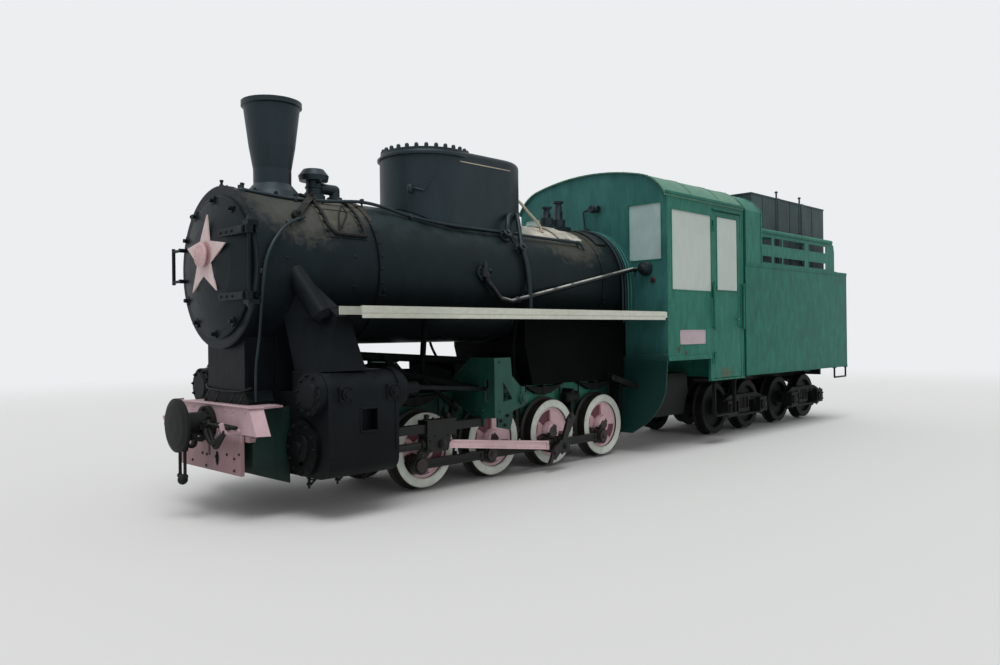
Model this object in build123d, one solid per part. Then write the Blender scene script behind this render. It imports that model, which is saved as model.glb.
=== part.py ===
"""Narrow-gauge steam locomotive, four coupled axles, with its bogie tender.

Millimetres. +X is forward, +Y is the left side, +Z is up. The origin lies under the middle of the
whole length, on the plane that the wheel flanges stand on.
"""
import math
import os

from build123d import *

os.makedirs("parts", exist_ok=True)

# Overall size
HALF_LENGTH = 4740.0
HALF_WIDTH = 990.0

# Clearances and the common sheet
SEAT = 0.3
RUN = 0.5
FACE = 6.0
SHEET = 8.0

# Track and wheels
FLANGE_HEIGHT = 25.0
BACK_TO_BACK = 700.0
TYRE_WIDTH = 125.0
TYRE_THICK = 72.0
WHEEL_D = 600.0
FLANGE_WIDTH = 30.0
AXLE_D = 130.0
AXLE_Z = FLANGE_HEIGHT + WHEEL_D / 2
WHEEL_IN = BACK_TO_BACK / 2
WHEEL_OUT = WHEEL_IN + TYRE_WIDTH
TYRE_BORE = WHEEL_D / 2 - TYRE_THICK
HUB_R = 96.0
WEB_OUT = WHEEL_OUT - 51.0
RIM_OUT = WHEEL_OUT - 25.0
WEIGHT_LAG = 215.0
WEIGHT_SPAN = 162.0
WHEEL_HOLES = (93.0, 55.0)

# Driving axles, front to back
AXLE_1_X = 2900.0
AXLE_PITCH = 780.0
AXLES = [AXLE_1_X - AXLE_PITCH * i for i in range(4)]
MAIN = 2
CRANK = 150.0
CRANK_ANGLE = {1: -43.0, -1: -133.0}
CRANK_PIN_D = 84.0
CRANK_BOSS_R = 70.0
PIN_COLLAR = 16.0
ROD_Y = (WHEEL_OUT + 18.0, WHEEL_OUT + 78.0)
ROD_HALF = 36.0
CON_Y = (ROD_Y[1] + 62.0, ROD_Y[1] + 122.0)
CON_ROD_LENGTH = 1477.0

# Frame plates
FRAME_Y = 290.0
FRAME_T = 25.0
FRAME_OUT = FRAME_Y + FRAME_T
FRAME_TOP = 765.0
FRAME_LOW = 400.0
FRAME_FRONT = 4392.0
FRAME_REAR = -1290.0
REAR_LOW = 285.0
REAR_CUT = (90.0, 540.0)
FRONT_LOW = 325.0
HORN_GAP = 190.0
HORN_FOOT = AXLE_Z - 110.0
HORN_TOP = AXLE_Z + 115.0
HORN_HALF = 175.0
LIGHTENING_R = 85.0
SIDE_PLATE = (443.0, 455.0)
SIDE_JOINT = 4219.0

# Front beam
BEAM_X = 4478.0
BEAM_TOP = 778.0
BEAM_LOW = 600.0
BEAM_HALF_TOP = 570.0
BEAM_HALF_LOW = 665.0
BEAM_FLARE = 35.0
LOWER_HALF = 455.0
LOWER_LOW = 320.0
LOWER_PLATE = 26.0
LOWER_SLOT = (15.0, 425.0, 505.0)
HOOK_Y = 440.0
HOOK_Z = 622.0
HOOK_R = 16.0

# Couplers
BUFFER_Z = 650.0
BUFFER_D = 370.0
SHANK_R = 82.0
LUG_BACK = 125.0
LUG_Z = 525.0
LUG_BORE = 36.0
LINK_BACK = 68.0
LINK_TOP = 487.0
LINK_LOW = 300.0
SHACKLE_R = 12.0

# Boiler and smokebox
BOILER_Z = 1747.0
BOILER_R = 570.0
BOILER_TOP = BOILER_Z + BOILER_R
SMOKE_FRONT = 4399.0
SMOKE_BACK = 3385.0
SMOKE_WALL = 12.0
MOUTH_R = 470.0
BANDS = (SMOKE_BACK - 65.0, 1778.0, 597.0)
BAND_W = 60.0
BAND_T = 7.0
PATCH = (3484.0, 3843.0, 1963.0, 2220.0)
PATCH_T = 6.0
DOOR_R = 508.0
DOOR_DISH = 90.0
DOOR_FLAT = 150.0
HINGE_X = 4440.0
HINGE_Y = 530.0
HINGE_ROD = 12.0
HINGE_HALF = 279.0
STRAP_OFFSET = 220.0
HANDLE_Z = (1670.0, 1900.0)
STAR_Z = 1834.0
STAR_R = 306.0
STAR_HUB = 88.0
FIREBOX_X = 1713.0
FIREBOX_HALF = 480.0
FIREBOX_LOW = 775.0
ASHPAN_LOW = 480.0

# Chimney, casing and valves on the boiler
CHIMNEY_X = 3962.0
CHIMNEY_TOP = 3003.0
CHIMNEY_R = 139.0
CHIMNEY_MOUTH = 222.0
DOME_FRONT_X = 2463.0
DOME_BACK_X = 1847.0
DOME_HALF = 400.0
DOME_TOP = 2825.0
DOME_FLANGE = (20.0, 16.0)
RELIEF_X = 3605.0
SAFETY = ((851.0, 2545.0), (663.0, 2622.0))

# Saddle
SADDLE_X = (3560.0, 4350.0)
SADDLE_HALF = 310.0
SADDLE_NOSE = 275.0
SADDLE_FOOT = 325.0

# Cylinders
CYL_X = (3530.0, 4110.0)
CYL_SIDE = 940.0
CYL_AXIS_Z = 395.0
CYL_Y = (CON_Y[0] + CON_Y[1]) / 2
CYL_LOW = 293.0
CYL_ROUND = 110.0
CYL_COVER_R = 190.0
CHEST_Z = 860.0
CHEST_R = 150.0
CHEST_Y = CYL_SIDE - CHEST_R
CHEST_TOP = CHEST_Z + CHEST_R
SIDE_WINDOW = (3716.0, 3848.0, 600.0, 748.0)
PLUGS_X = (3580.0, 3976.0)

# Crossheads, slide bars and their brackets
PISTON_ROD_D = 60.0
PISTON_ROD_LENGTH = 1000.0
XHEAD_PIN_D = 68.0
XHEAD_CHEEK = 14.0
BAR_HALF = 40.0
SLIDE_Z = (492.0, 556.0)
BRACKET_X = 2450.0
BRACKET_Y = 860.0
BRACKET_TOP = 1055.0
SHAFT_X = 2165.0
SHAFT_Z = 712.0

# Running boards
BOARD_TOP = 1450.0
BOARD_EDGE = 60.0
BOARD_T = 12.0
BOARD_IN = 505.0
BOARD_JOINT = 3880.0

# Cab
CAB_FRONT = 166.0
CAB_BACK = -1405.0
CAB_STEP_X = -673.0
CAB_LOW_FRONT = 955.0
CAB_LOW_BACK = 715.0
CAB_WALL = 30.0
CAB_IN = HALF_WIDTH - CAB_WALL
EAVE_Z = 2640.0
ROOF_TOP = 2950.0
ROOF_T = 8.0
ROOF_REAR = 6.0
WINDOW = (-703.0, 62.0, 1679.0, 2495.0)
DOOR = (-1345.0, -745.0)
DOOR_Z = (735.0, 2560.0)
DOOR_WINDOW = (-1275.0, -833.0, 1698.0, 2500.0)
DOOR_HINGE_Y = HALF_WIDTH + 10.0
KNUCKLE_R = 9.0
KNUCKLE_HIGH = 60.0
KNUCKLES = (900.0, 1620.0, 2330.0)
GRAB_OFF = 30.0
GRAB_R = 9.0
GRAB_Z = (1270.0, 1790.0)
FRONT_WINDOW = (540.0, 930.0, 1987.0, 2560.0)
BACK_OPENING = (520.0, 2500.0)
FLOOR_Z = 1010.0
BOARD_X = (CAB_FRONT, 4047.0)
STEP_X = (-1266.0, -810.0)
STEP_Z = (318.0, 334.0)
FEED_Y = 600.0

# Tender body
TENDER_FRONT = -1475.0
TENDER_BACK = -4400.0
TENDER_LOW = 736.0
TENDER_TOP = 2041.0
STIRRUP_Z = 600.0
STIRRUP_R = 12.0
BUNKER_X = (-4089.0, -1990.0)
BUNKER_HALF = 800.0
BUNKER_TOP = 2925.0
BUNKER_WALL = 30.0
BUNKER_RIBS = (-2686.0, -3371.0)
RAIL_Y = HALF_WIDTH - 50.0
RAIL_X = (-4100.0, -1886.0)
RAIL_TOP = 2446.0
RAIL_TUBE = 28.0
RAIL_SLOTS = ((-2224.0, -1926.0), (-2503.0, -2291.0), (-3154.0, -2539.0), (-3814.0, -3275.0))
RAIL_ROWS = ((2073.0, 2149.0), (2287.0, 2377.0))

# Tender frame, drawbar and bogies
PIN_X = -1240.0
PIN_D = 60.0
DRAWBAR_Z = (600.0, 660.0)
SILL_Y = (220.0, 280.0)
SILL_DEPTH = 136.0
TENDER_BEAM = 40.0
BOLSTER_TOP = 540.0
BOGIE_X = (-2050.0, -3740.0)
BOGIE_BASE = 800.0
BOGIE_Y = (560.0, 640.0)
PIVOT_D = 120.0
JOURNAL_R = 50.0


def block(x, y, z):
    """Box from its two ends along each axis."""
    size = [abs(b - a) for a, b in (x, y, z)]
    middle = [(a + b) / 2 for a, b in (x, y, z)]
    return Pos(*middle) * Box(*size)


def side_plate(points, y0, y1):
    """Plate with an outline in X and Z, from y0 to y1."""
    outline = make_face(Polyline([(x, y0, z) for x, z in points], close=True))
    return extrude(outline, amount=y1 - y0, dir=(0, 1, 0))


def cross_plate(points, x0, x1):
    """Plate with an outline in Y and Z, from x0 to x1."""
    outline = make_face(Polyline([(x0, y, z) for y, z in points], close=True))
    return extrude(outline, amount=x1 - x0, dir=(1, 0, 0))


def flat_plate(points, z0, z1):
    """Plate with an outline in X and Y, from z0 to z1."""
    outline = make_face(Polyline([(x, y, z0) for x, y in points], close=True))
    return extrude(outline, amount=z1 - z0, dir=(0, 0, 1))


def bar(start, end, radius):
    """Round bar between two points."""
    a = Vector(*start)
    along = Vector(*end) - a
    align = (Align.CENTER, Align.CENTER, Align.MIN)
    return Plane(a, z_dir=along) * Cylinder(radius, along.length, align=align)


def bent_bar(points, radius):
    """Round bars from point to point, with a ball at each bend."""
    solid = bar(points[0], points[1], radius)
    for start, end in zip(points[1:-1], points[2:]):
        solid += bar(start, end, radius)
        solid += Pos(*start) * Sphere(radius)
    return solid


def drum_x(x0, x1, y, z, radius):
    """Cylinder lying along X."""
    return bar((x0, y, z), (x1, y, z), radius)


def drum_y(x, z, y0, y1, radius):
    """Cylinder lying along Y."""
    return bar((x, y0, z), (x, y1, z), radius)


def drum_z(x, y, z0, z1, radius):
    """Cylinder standing along Z."""
    return bar((x, y, z0), (x, y, z1), radius)


def boiler_space():
    """Room of the barrel and the smokebox, cut from all that sits on them."""
    return drum_x(CAB_FRONT - 400, SMOKE_FRONT + 100, 0, BOILER_Z, BOILER_R + SEAT)


def other_side(shape):
    """The same shape on the right side."""
    return mirror(shape, about=Plane.XZ)


def pair(shape):
    """A left piece and its right twin."""
    return [shape, other_side(shape)]


def to_side(shape, side):
    """A left piece as it is, or its right twin."""
    return shape if side > 0 else other_side(shape)


def turned_y(profile, centre):
    """Ring or disc turned about Y through a centre, from (radius, y) points."""
    x, z = centre
    outline = make_face(Polyline([(x + r, y, z) for r, y in profile], close=True))
    return revolve(outline, Axis((x, 0, z), (0, 1, 0)), 360)


def turned_z(profile, centre):
    """Solid turned about a vertical line, from (radius, z) points."""
    x, y = centre
    outline = make_face(Polyline([(x + r, y, z) for r, z in profile], close=True))
    return revolve(outline, Axis((x, y, 0), (0, 0, 1)), 360)


def turned_x(profile, centre):
    """Solid turned about a line along X, from (x, radius) points."""
    y, z = centre
    outline = make_face(Polyline([(x, y, z + r) for x, r in profile], close=True))
    return revolve(outline, Axis((0, y, z), (1, 0, 0)), 360)


def write(name, *shapes):
    """One STEP file with every solid of the node."""
    solids = []
    for shape in shapes:
        items = shape if isinstance(shape, (list, tuple)) else [shape]
        for item in items:
            solids.extend(item.solids())
    export_step(Compound(children=solids), f"parts/{name}.step")


def main_frame():
    """Two plates with horn gaps, their stretchers, and the side plates ahead of the cylinders."""
    step = HORN_HALF + 60
    outline = [(FRAME_FRONT, FRAME_TOP), (FRAME_FRONT, FRONT_LOW), (CYL_X[1] + 10, FRONT_LOW)]
    outline += [(CYL_X[1] - 70, FRAME_LOW)]
    for x in AXLES:
        outline += [(x + step, FRAME_LOW), (x + HORN_HALF, HORN_FOOT)]
        outline += [(x + HORN_GAP / 2, HORN_FOOT), (x + HORN_GAP / 2, HORN_TOP)]
        outline += [(x - HORN_GAP / 2, HORN_TOP), (x - HORN_GAP / 2, HORN_FOOT)]
        outline += [(x - HORN_HALF, HORN_FOOT), (x - step, FRAME_LOW)]
    outline += [(CAB_FRONT - 16, FRAME_LOW), (CAB_FRONT - 106, REAR_LOW)]
    cut_x, cut_z = REAR_CUT
    outline += [(FRAME_REAR + cut_x, REAR_LOW), (FRAME_REAR, cut_z), (FRAME_REAR, FRAME_TOP)]
    plate = side_plate(outline, FRAME_Y, FRAME_OUT)
    for x in [AXLES[0] + 420] + [a - AXLE_PITCH / 2 for a in AXLES[:3]]:
        plate -= drum_y(x, HORN_TOP + 135, FRAME_Y - 1, FRAME_OUT + 1, LIGHTENING_R)
    frame = plate + other_side(plate)
    for x in (2500.0, 1730.0):
        frame += block((x - 20, x + 20), (-FRAME_Y, FRAME_Y), (470, FRAME_TOP))
    for x, low in ((CAB_FRONT - 226, REAR_LOW), (FRAME_REAR, cut_z)):
        frame += block((x, x + 30), (-FRAME_Y, FRAME_Y), (low, FRAME_TOP))
    y0, y1 = SIDE_PLATE
    frame += block((FRAME_FRONT - 40, FRAME_FRONT), (-y1, y1), (FRONT_LOW, FRAME_TOP))
    low_rear = FRONT_LOW - 98
    side = side_plate([(FRAME_FRONT, FRAME_TOP), (FRAME_FRONT, FRONT_LOW), (CYL_X[1] + SEAT, low_rear),
                       (CYL_X[1] + SEAT, FRAME_TOP)], y0, y1)
    side -= block((SIDE_JOINT - 2, SIDE_JOINT + 2), (y1 - 3, y1 + 1), (0, FRAME_TOP + 1))
    frame += side + other_side(side)
    z0, z1 = DRAWBAR_Z
    frame -= block((FRAME_REAR - 10, FRAME_REAR + 60), (-90, 90), (z0 - FACE, z1 + FACE))
    for low, high in ((z0 - 36, z0 - FACE), (z1 + FACE, z1 + 36)):
        frame += block((FRAME_REAR, PIN_X + 110), (-FRAME_Y, FRAME_Y), (low, high))
    return frame + drum_z(PIN_X, 0, z0 - 40, z1 + 40, PIN_D / 2)


def axle_boxes():
    """Boxes in the horn gaps, bored for the axles."""
    boxes = []
    half = HORN_GAP / 2 - SEAT
    for x in AXLES:
        box = block((x - half, x + half), (FRAME_Y - 25, FRAME_OUT + 12), (HORN_FOOT + 20, HORN_TOP - SEAT))
        box -= drum_y(x, AXLE_Z, FRAME_Y - 40, FRAME_OUT + 30, AXLE_D / 2 + 1)
        boxes += pair(box)
    return boxes


def sector(radius, middle, span, y0, y1):
    """Round sector about the origin, seen along Y, angles from +X towards +Z."""
    angles = [math.radians(middle + span * t) for t in (-0.5, 0.0, 0.5)]
    first, mid, last = [(radius * math.cos(a), y0, radius * math.sin(a)) for a in angles]
    centre = (0, y0, 0)
    outline = make_face(ThreePointArc(first, mid, last) + Line(last, centre) + Line(centre, first))
    return extrude(outline, amount=y1 - y0, dir=(0, 1, 0))


def wheel_centre(side):
    """Cast disc with hub, crank boss, raised counterweight sector and two rim openings."""
    crank = CRANK_ANGLE[side]
    pin_x = CRANK * math.cos(math.radians(crank))
    pin_z = CRANK * math.sin(math.radians(crank))
    rim_in = TYRE_BORE - 24
    back = WHEEL_IN + 20
    disc = turned_y([(0, back + 20), (TYRE_BORE, back), (TYRE_BORE, RIM_OUT), (rim_in, RIM_OUT),
                     (rim_in - 8, WEB_OUT), (0, WEB_OUT)], (0, 0))
    disc += sector(TYRE_BORE - 5, crank + WEIGHT_LAG, WEIGHT_SPAN, WEB_OUT - 10, RIM_OUT - 4)
    for turn in WHEEL_HOLES:
        hole = block((rim_in - 44, rim_in - 14), (back - 30, RIM_OUT + 30), (-42, 42))
        disc -= hole.rotate(Axis((0, 0, 0), (0, 1, 0)), -(crank + turn))
    hub_in = WHEEL_IN - 8
    disc += turned_y([(0, hub_in), (HUB_R, hub_in), (HUB_R, RIM_OUT), (HUB_R - 12, WHEEL_OUT),
                      (0, WHEEL_OUT)], (0, 0))
    boss = drum_y(pin_x, pin_z, back + 15, WHEEL_OUT, CRANK_BOSS_R)
    disc += boss & drum_y(0, 0, back, WHEEL_OUT + 5, TYRE_BORE)
    return disc, pin_x, pin_z


def driving_wheelset(x, main):
    """Axle, two wheel centres and their crank pins as one solid."""
    solid = drum_y(x, AXLE_Z, -WHEEL_IN - 10, WHEEL_IN + 10, AXLE_D / 2)
    for side in (1, -1):
        centre, pin_x, pin_z = wheel_centre(side)
        pin = drum_y(pin_x, pin_z, WHEEL_OUT - 5, ROD_Y[1] + 8, CRANK_PIN_D / 2)
        collar = CON_Y[0] - FACE if main else ROD_Y[1] + PIN_COLLAR
        pin += drum_y(pin_x, pin_z, ROD_Y[1] + 2, collar, CRANK_PIN_D / 2 + 12)
        solid += Pos(x, 0, AXLE_Z) * to_side(centre + pin, side)
    return solid


def tyre_profile(side):
    """Tread, flange at the inner face and bore, as (radius, y)."""
    tread = WHEEL_D / 2
    flange = tread + FLANGE_HEIGHT
    points = [(TYRE_BORE, WHEEL_IN), (flange - 6, WHEEL_IN), (flange, WHEEL_IN + 8),
              (flange, WHEEL_IN + 16), (tread + 2, WHEEL_IN + FLANGE_WIDTH), (tread, WHEEL_OUT - 6),
              (tread - 6, WHEEL_OUT), (TYRE_BORE + 8, WHEEL_OUT), (TYRE_BORE, WHEEL_OUT - 8)]
    return [(radius, side * y) for radius, y in points]


def tyres(x):
    """Two tyres of one axle."""
    return [turned_y(tyre_profile(side), (x, AXLE_Z)) for side in (1, -1)]


def pin_place(side, index):
    """Crank pin centre of a wheel."""
    a = math.radians(CRANK_ANGLE[side])
    return AXLES[index] + CRANK * math.cos(a), AXLE_Z + CRANK * math.sin(a)


def coupling_rod(side):
    """Fluted rod with an eye and an oil cup on each of the four crank pins."""
    y0, y1 = ROD_Y
    places = [pin_place(side, i) for i in range(4)]
    z = places[0][1]
    eye = CRANK_PIN_D / 2 + 32
    rod = block((places[3][0], places[0][0]), (y0 + 10, y1 - 10), (z - ROD_HALF, z + ROD_HALF))
    for x, _ in places:
        rod += drum_y(x, z, y0, y1, eye)
        rod += block((x - 30, x + 30), (y0 + 8, y1 - 8), (z + eye - 24, z + eye + 10))
        rod += drum_z(x, (y0 + y1) / 2, z + eye, z + eye + 24, 14)
    for left, right in zip(places[1:], places[:-1]):
        rod -= block((left[0] + 110, right[0] - 110), (y1 - 18, y1), (z - 20, z + 20))
    for x, _ in places:
        rod -= drum_y(x, z, y0 - 5, y1 + 5, CRANK_PIN_D / 2 + SEAT)
    return to_side(rod, side)


def crosshead_x(side):
    """Place of the crosshead pin at rest, from the crank pin and the rod's length."""
    pin_x, pin_z = pin_place(side, MAIN)
    return pin_x + math.sqrt(CON_ROD_LENGTH**2 - (CYL_AXIS_Z - pin_z) ** 2)


def crosshead(side):
    """Single-bar crosshead with its pin, its drop arm and the piston rod."""
    x = crosshead_x(side)
    y0, y1 = CYL_Y - BAR_HALF - 4 - XHEAD_CHEEK, CYL_Y + BAR_HALF + 4 + XHEAD_CHEEK
    top = SLIDE_Z[1] + RUN
    foot = SLIDE_Z[0] - 32
    cheek = side_plate([(x - 60, CYL_AXIS_Z - 55), (x + 150, CYL_AXIS_Z - 55), (x + 150, CYL_AXIS_Z + 55),
                        (x + 90, foot + 20), (x - 90, foot + 20), (x - 90, CYL_AXIS_Z + 40)], y0, y1)
    cheek -= block((x - 150, x + 68), (CON_Y[0] - 4, CON_Y[1] + 4), (CYL_AXIS_Z - 90, foot))
    shoe = block((x - 150, x + 150), (y0, y1), (foot, top + 30))
    sides = (CYL_Y - BAR_HALF - RUN, CYL_Y + BAR_HALF + RUN)
    shoe -= block((x - 160, x + 160), sides, (SLIDE_Z[0] - RUN, top))
    for step in (-110, 110):
        shoe += drum_z(x + step, CYL_Y, top + 20, top + 62, 20)
    pin = drum_y(x, CYL_AXIS_Z, y0, y1 + 12, XHEAD_PIN_D / 2)
    rod = drum_x(x + 140, x + PISTON_ROD_LENGTH, CYL_Y, CYL_AXIS_Z, PISTON_ROD_D / 2)
    return to_side(cheek + shoe + pin + rod, side)


def return_crank(side):
    """Strap clamped on the outer end of the crank pin, about the pin's centre."""
    y0, y1 = CON_Y[1] + 26, CON_Y[1] + 52
    turn = 0 if side > 0 else 90
    strap = side_plate([(-96, 300), (-40, 250), (40, 60), (150, 0), (190, -60), (140, -110), (40, -20),
                        (-110, 190), (-150, 250)], y0, y1)
    strap += drum_y(0, 0, y0, y1, CRANK_PIN_D / 2 + 20)
    if side > 0:
        strap += side_plate([(130, -40), (180, -60), (226, -132), (190, -140)], y0, y1)
    return strap.rotate(Axis((0, 0, 0), (0, 1, 0)), turn)


def connecting_rod(side):
    """Fluted rod from the crosshead pin to the main crank pin, with a strapped big end."""
    x0, z0 = crosshead_x(side), CYL_AXIS_Z
    x1, z1 = pin_place(side, MAIN)
    y0, y1 = CON_Y
    length = math.hypot(x1 - x0, z1 - z0)
    shank = [(-40, -32), (-length + 170, -38), (-length + 90, -56), (-length + 90, 56),
             (-length + 170, 38), (-40, 32)]
    rod = side_plate(shank, y0 + 8, y1 - 8)
    rod -= side_plate([(-90, -20), (-length + 190, -25), (-length + 190, 25), (-90, 20)], y1 - 18, y1)
    rod += drum_y(0, 0, y0, y1, 52)
    rod += block((-length - 70, -length + 100), (y0, y1), (-66, 66))
    rod += block((-length + 30, -length + 56), (y0 + 6, y1 - 6), (-84, 84))
    rod -= drum_y(0, 0, y0 - 5, y1 + 5, XHEAD_PIN_D / 2 + 0.05)
    rod += drum_y(-length, 0, y0 + 10, y1 + 28, CRANK_PIN_D / 2)
    tilt = math.degrees(math.atan2(z0 - z1, x0 - x1))
    rod = rod.rotate(Axis((0, 0, 0), (0, 1, 0)), -tilt)
    solid = Pos(x0, 0, z0) * rod + Pos(x1, 0, z1) * return_crank(side)
    return to_side(solid, side)


def slide_bars():
    """One bar above each piston rod, from the cylinder to the motion bracket."""
    start = BRACKET_X + SHEET + SEAT
    return pair(block((start, CYL_X[0] - 40 - SEAT), (CYL_Y - BAR_HALF, CYL_Y + BAR_HALF), SLIDE_Z))


def cylinder():
    """Cylinder, valve chest and their covers as one casting."""
    x0, x1 = CYL_X
    shell = block((x0, x1), (FRAME_OUT, CYL_SIDE), (CYL_LOW, CHEST_Z))
    shell = fillet(shell.edges().filter_by(Axis.X).sort_by(lambda e: e.center().Z - e.center().Y)[0],
                   CYL_ROUND)
    shell += block((x0, x1), (500, CHEST_Y), (CHEST_Z - 10, CHEST_TOP))
    shell += drum_x(x0, x1, CHEST_Y, CHEST_Z, CHEST_R)
    shell += drum_x(x1 - 5, x1 + 60, CHEST_Y, CHEST_Z, CHEST_R - 6)
    shell += turned_x([(x1 + 58, 0), (x1 + 58, CHEST_R - 46), (x1 + 74, CHEST_R - 60), (x1 + 74, 0)],
                      (CHEST_Y, CHEST_Z))
    shell += drum_x(x1 - 5, x1 + 30, CYL_Y, CYL_AXIS_Z + 95, CYL_COVER_R)
    shell += drum_x(x0 - 60, x0 + 5, CHEST_Y, CHEST_Z, CHEST_R + 10)
    shell += drum_x(x0 - 118, x0 - 50, CHEST_Y, CHEST_Z, CHEST_R - 30)
    shell += drum_x(x0 - 40, x0 + 5, CYL_Y, CYL_AXIS_Z + 75, CYL_COVER_R - 15)
    wx0, wx1, wz0, wz1 = SIDE_WINDOW
    shell -= block((wx0, wx1), (CYL_SIDE - 70, CYL_SIDE + 5), (wz0, wz1))
    shell -= drum_x(x0 - 50, x1 + 40, CYL_Y, CYL_AXIS_Z, PISTON_ROD_D / 2 + RUN)
    for x in PLUGS_X:
        shell += block((x - 55, x + 55), (CYL_SIDE - 20, CYL_SIDE + 12), (CHEST_Z - 60, CHEST_Z + 50))
        shell += drum_y(x, CHEST_Z - 5, CYL_SIDE, CYL_SIDE + 30, 38)
    return shell


def steam_pipes():
    """Sheet casing round each steam pipe, from the smokebox side out and down to the valve chest."""
    levels = (
        (1690.0, ((4150, 440), (4130, 545), (4050, 545), (4030, 440))),
        (1380.0, ((4135, 440), (3930, 790), (3835, 790), (3800, 440))),
        (CHEST_TOP + SEAT, ((4104, 520), (4096, 840), (3760, 880), (3680, 520))),
    )
    sections = [make_face(Polyline([(x, y, z) for x, y in corners], close=True)) for z, corners in levels]
    casing = loft(sections[:2], ruled=True) + loft(sections[1:], ruled=True)
    casing -= boiler_space()
    return pair(max(casing.solids(), key=lambda s: s.volume))


def motion_brackets():
    """Transverse plate with a slot, a side gusset with a cut-out, and the cross shaft with its link."""
    x, y = BRACKET_X, BRACKET_Y
    plate = cross_plate([(FRAME_OUT, 690), (CYL_Y - 55, 552), (CYL_Y - 55, 486), (CYL_Y + 55, 486),
                         (CYL_Y + 55, 552), (y, 570), (y, BRACKET_TOP), (541, BRACKET_TOP),
                         (335, 897), (FRAME_OUT, 880)], x - SHEET, x + SHEET)
    plate -= block((x - 20, x + 20), (714, 757), (705, 860))
    for z in (705, 860):
        plate -= drum_x(x - 20, x + 20, 735.5, z, 21.5)
    gusset = side_plate([(x - SHEET, 573), (SHAFT_X - 35, 650), (SHAFT_X - 35, 760),
                         (SHAFT_X + 122, 905), (x - 150, BRACKET_TOP), (x - SHEET, BRACKET_TOP)],
                        y - SHEET, y)
    gusset -= side_plate([(x - 52, 690), (x - 168, 712), (x - 108, 800), (x - 52, 868)], y - 20, y + 10)
    flange = block((x - 60, x + 40), (y - SHEET, y), (570, BRACKET_TOP))
    boss = drum_y(SHAFT_X, SHAFT_Z, y - 30, y + 24, 48) + drum_z(SHAFT_X, y, SHAFT_Z, SHAFT_Z + 96, 22)
    shaft = drum_y(SHAFT_X, SHAFT_Z, 690, y, 24)
    link = side_plate([(SHAFT_X - 45, 740), (SHAFT_X + 45, 740), (SHAFT_X + 150, 545),
                       (SHAFT_X + 150, 470), (SHAFT_X, 436), (SHAFT_X - 30, 530)], 700, 718)
    return pair(plate + gusset + flange + boss + shaft + link)


def boiler():
    """Lagged barrel with its bands."""
    barrel = drum_x(CAB_FRONT, SMOKE_BACK, 0, BOILER_Z, BOILER_R - BAND_T)
    for x in BANDS:
        barrel += drum_x(x, x + BAND_W, 0, BOILER_Z, BOILER_R)
    return barrel


def smokebox():
    """Open shell with a front ring, a tube plate, a riveted patch frame and the door's hinge rod."""
    shell = drum_x(SMOKE_BACK, SMOKE_FRONT, 0, BOILER_Z, BOILER_R)
    shell -= drum_x(SMOKE_BACK + 20, SMOKE_FRONT + 5, 0, BOILER_Z, BOILER_R - SMOKE_WALL)
    ring = drum_x(SMOKE_FRONT - 14, SMOKE_FRONT, 0, BOILER_Z, BOILER_R - 5)
    ring -= drum_x(SMOKE_FRONT - 20, SMOKE_FRONT + 5, 0, BOILER_Z, MOUTH_R)
    px0, px1, pz0, pz1 = PATCH
    patch = drum_x(px0, px1, 0, BOILER_Z, BOILER_R + PATCH_T) - drum_x(px0 - 5, px1 + 5, 0, BOILER_Z,
                                                                     BOILER_R - 3)
    patch &= block((px0, px1), (0, BOILER_R + 50), (pz0, pz1))
    patch -= block((px0 + 45, px1 - 45), (0, BOILER_R + 60), (pz0 + 38, pz1 - 32))
    rod = drum_z(HINGE_X, HINGE_Y, BOILER_Z - HINGE_HALF, BOILER_Z + HINGE_HALF, HINGE_ROD)
    for z in (BOILER_Z - HINGE_HALF, BOILER_Z + HINGE_HALF - 30):
        rod += block((SMOKE_FRONT - 20, HINGE_X + 20), (HINGE_Y - 50, HINGE_Y + 20), (z, z + 30))
    return shell + ring + patch + rod


def smokebox_door():
    """Dished round door with two hinge straps, rim clamps and a handle on its free side."""
    x = SMOKE_FRONT + SEAT
    door = turned_x([(x, 0), (x, DOOR_R), (x + 16, DOOR_R), (x + 30, DOOR_R - 50),
                     (x + 0.72 * DOOR_DISH, 0.62 * DOOR_R), (x + DOOR_DISH, DOOR_FLAT), (x + DOOR_DISH, 0)],
                    (0, BOILER_Z))
    door -= turned_x([(x - 1, 0), (x - 1, DOOR_R - 60), (x + 12, DOOR_R - 70),
                      (x + 0.72 * DOOR_DISH - 16, 0.6 * DOOR_R), (x + DOOR_DISH - 16, DOOR_FLAT),
                      (x + DOOR_DISH - 16, 0)], (0, BOILER_Z))
    for z in (BOILER_Z + STRAP_OFFSET, BOILER_Z - STRAP_OFFSET):
        strap = block((x + 20, x + 75), (150, HINGE_Y - 28), (z - 26, z + 26))
        strap += block((x + 8, x + 60), (HINGE_Y - 90, HINGE_Y - 20), (z - 26, z + 26))
        strap += drum_z(HINGE_X, HINGE_Y, z - 26, z + 26, HINGE_ROD + 14)
        strap -= drum_z(HINGE_X, HINGE_Y, z - 30, z + 30, HINGE_ROD + SEAT)
        door += strap
    for angle in (55, 90, 125, 152, 208, 235, 270, 305):
        clamp = block((x + 5, x + 36), (DOOR_R - 62, DOOR_R - 6), (-24, 24))
        clamp += drum_x(x + 10, x + 62, DOOR_R - 34, 0, 15)
        door += Pos(0, 0, BOILER_Z) * clamp.rotate(Axis((0, 0, 0), (1, 0, 0)), angle)
    grip_y = -DOOR_R - 85
    foot_y = -0.9 * DOOR_R
    for z in HANDLE_Z:
        door += drum_x(x + 8, x + 80, foot_y, z, 15)
        door += drum_y(x + 62, z, grip_y, foot_y, 11)
    return door + drum_z(x + 62, grip_y, HANDLE_Z[0] - 22, HANDLE_Z[1] + 22, 13)


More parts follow.
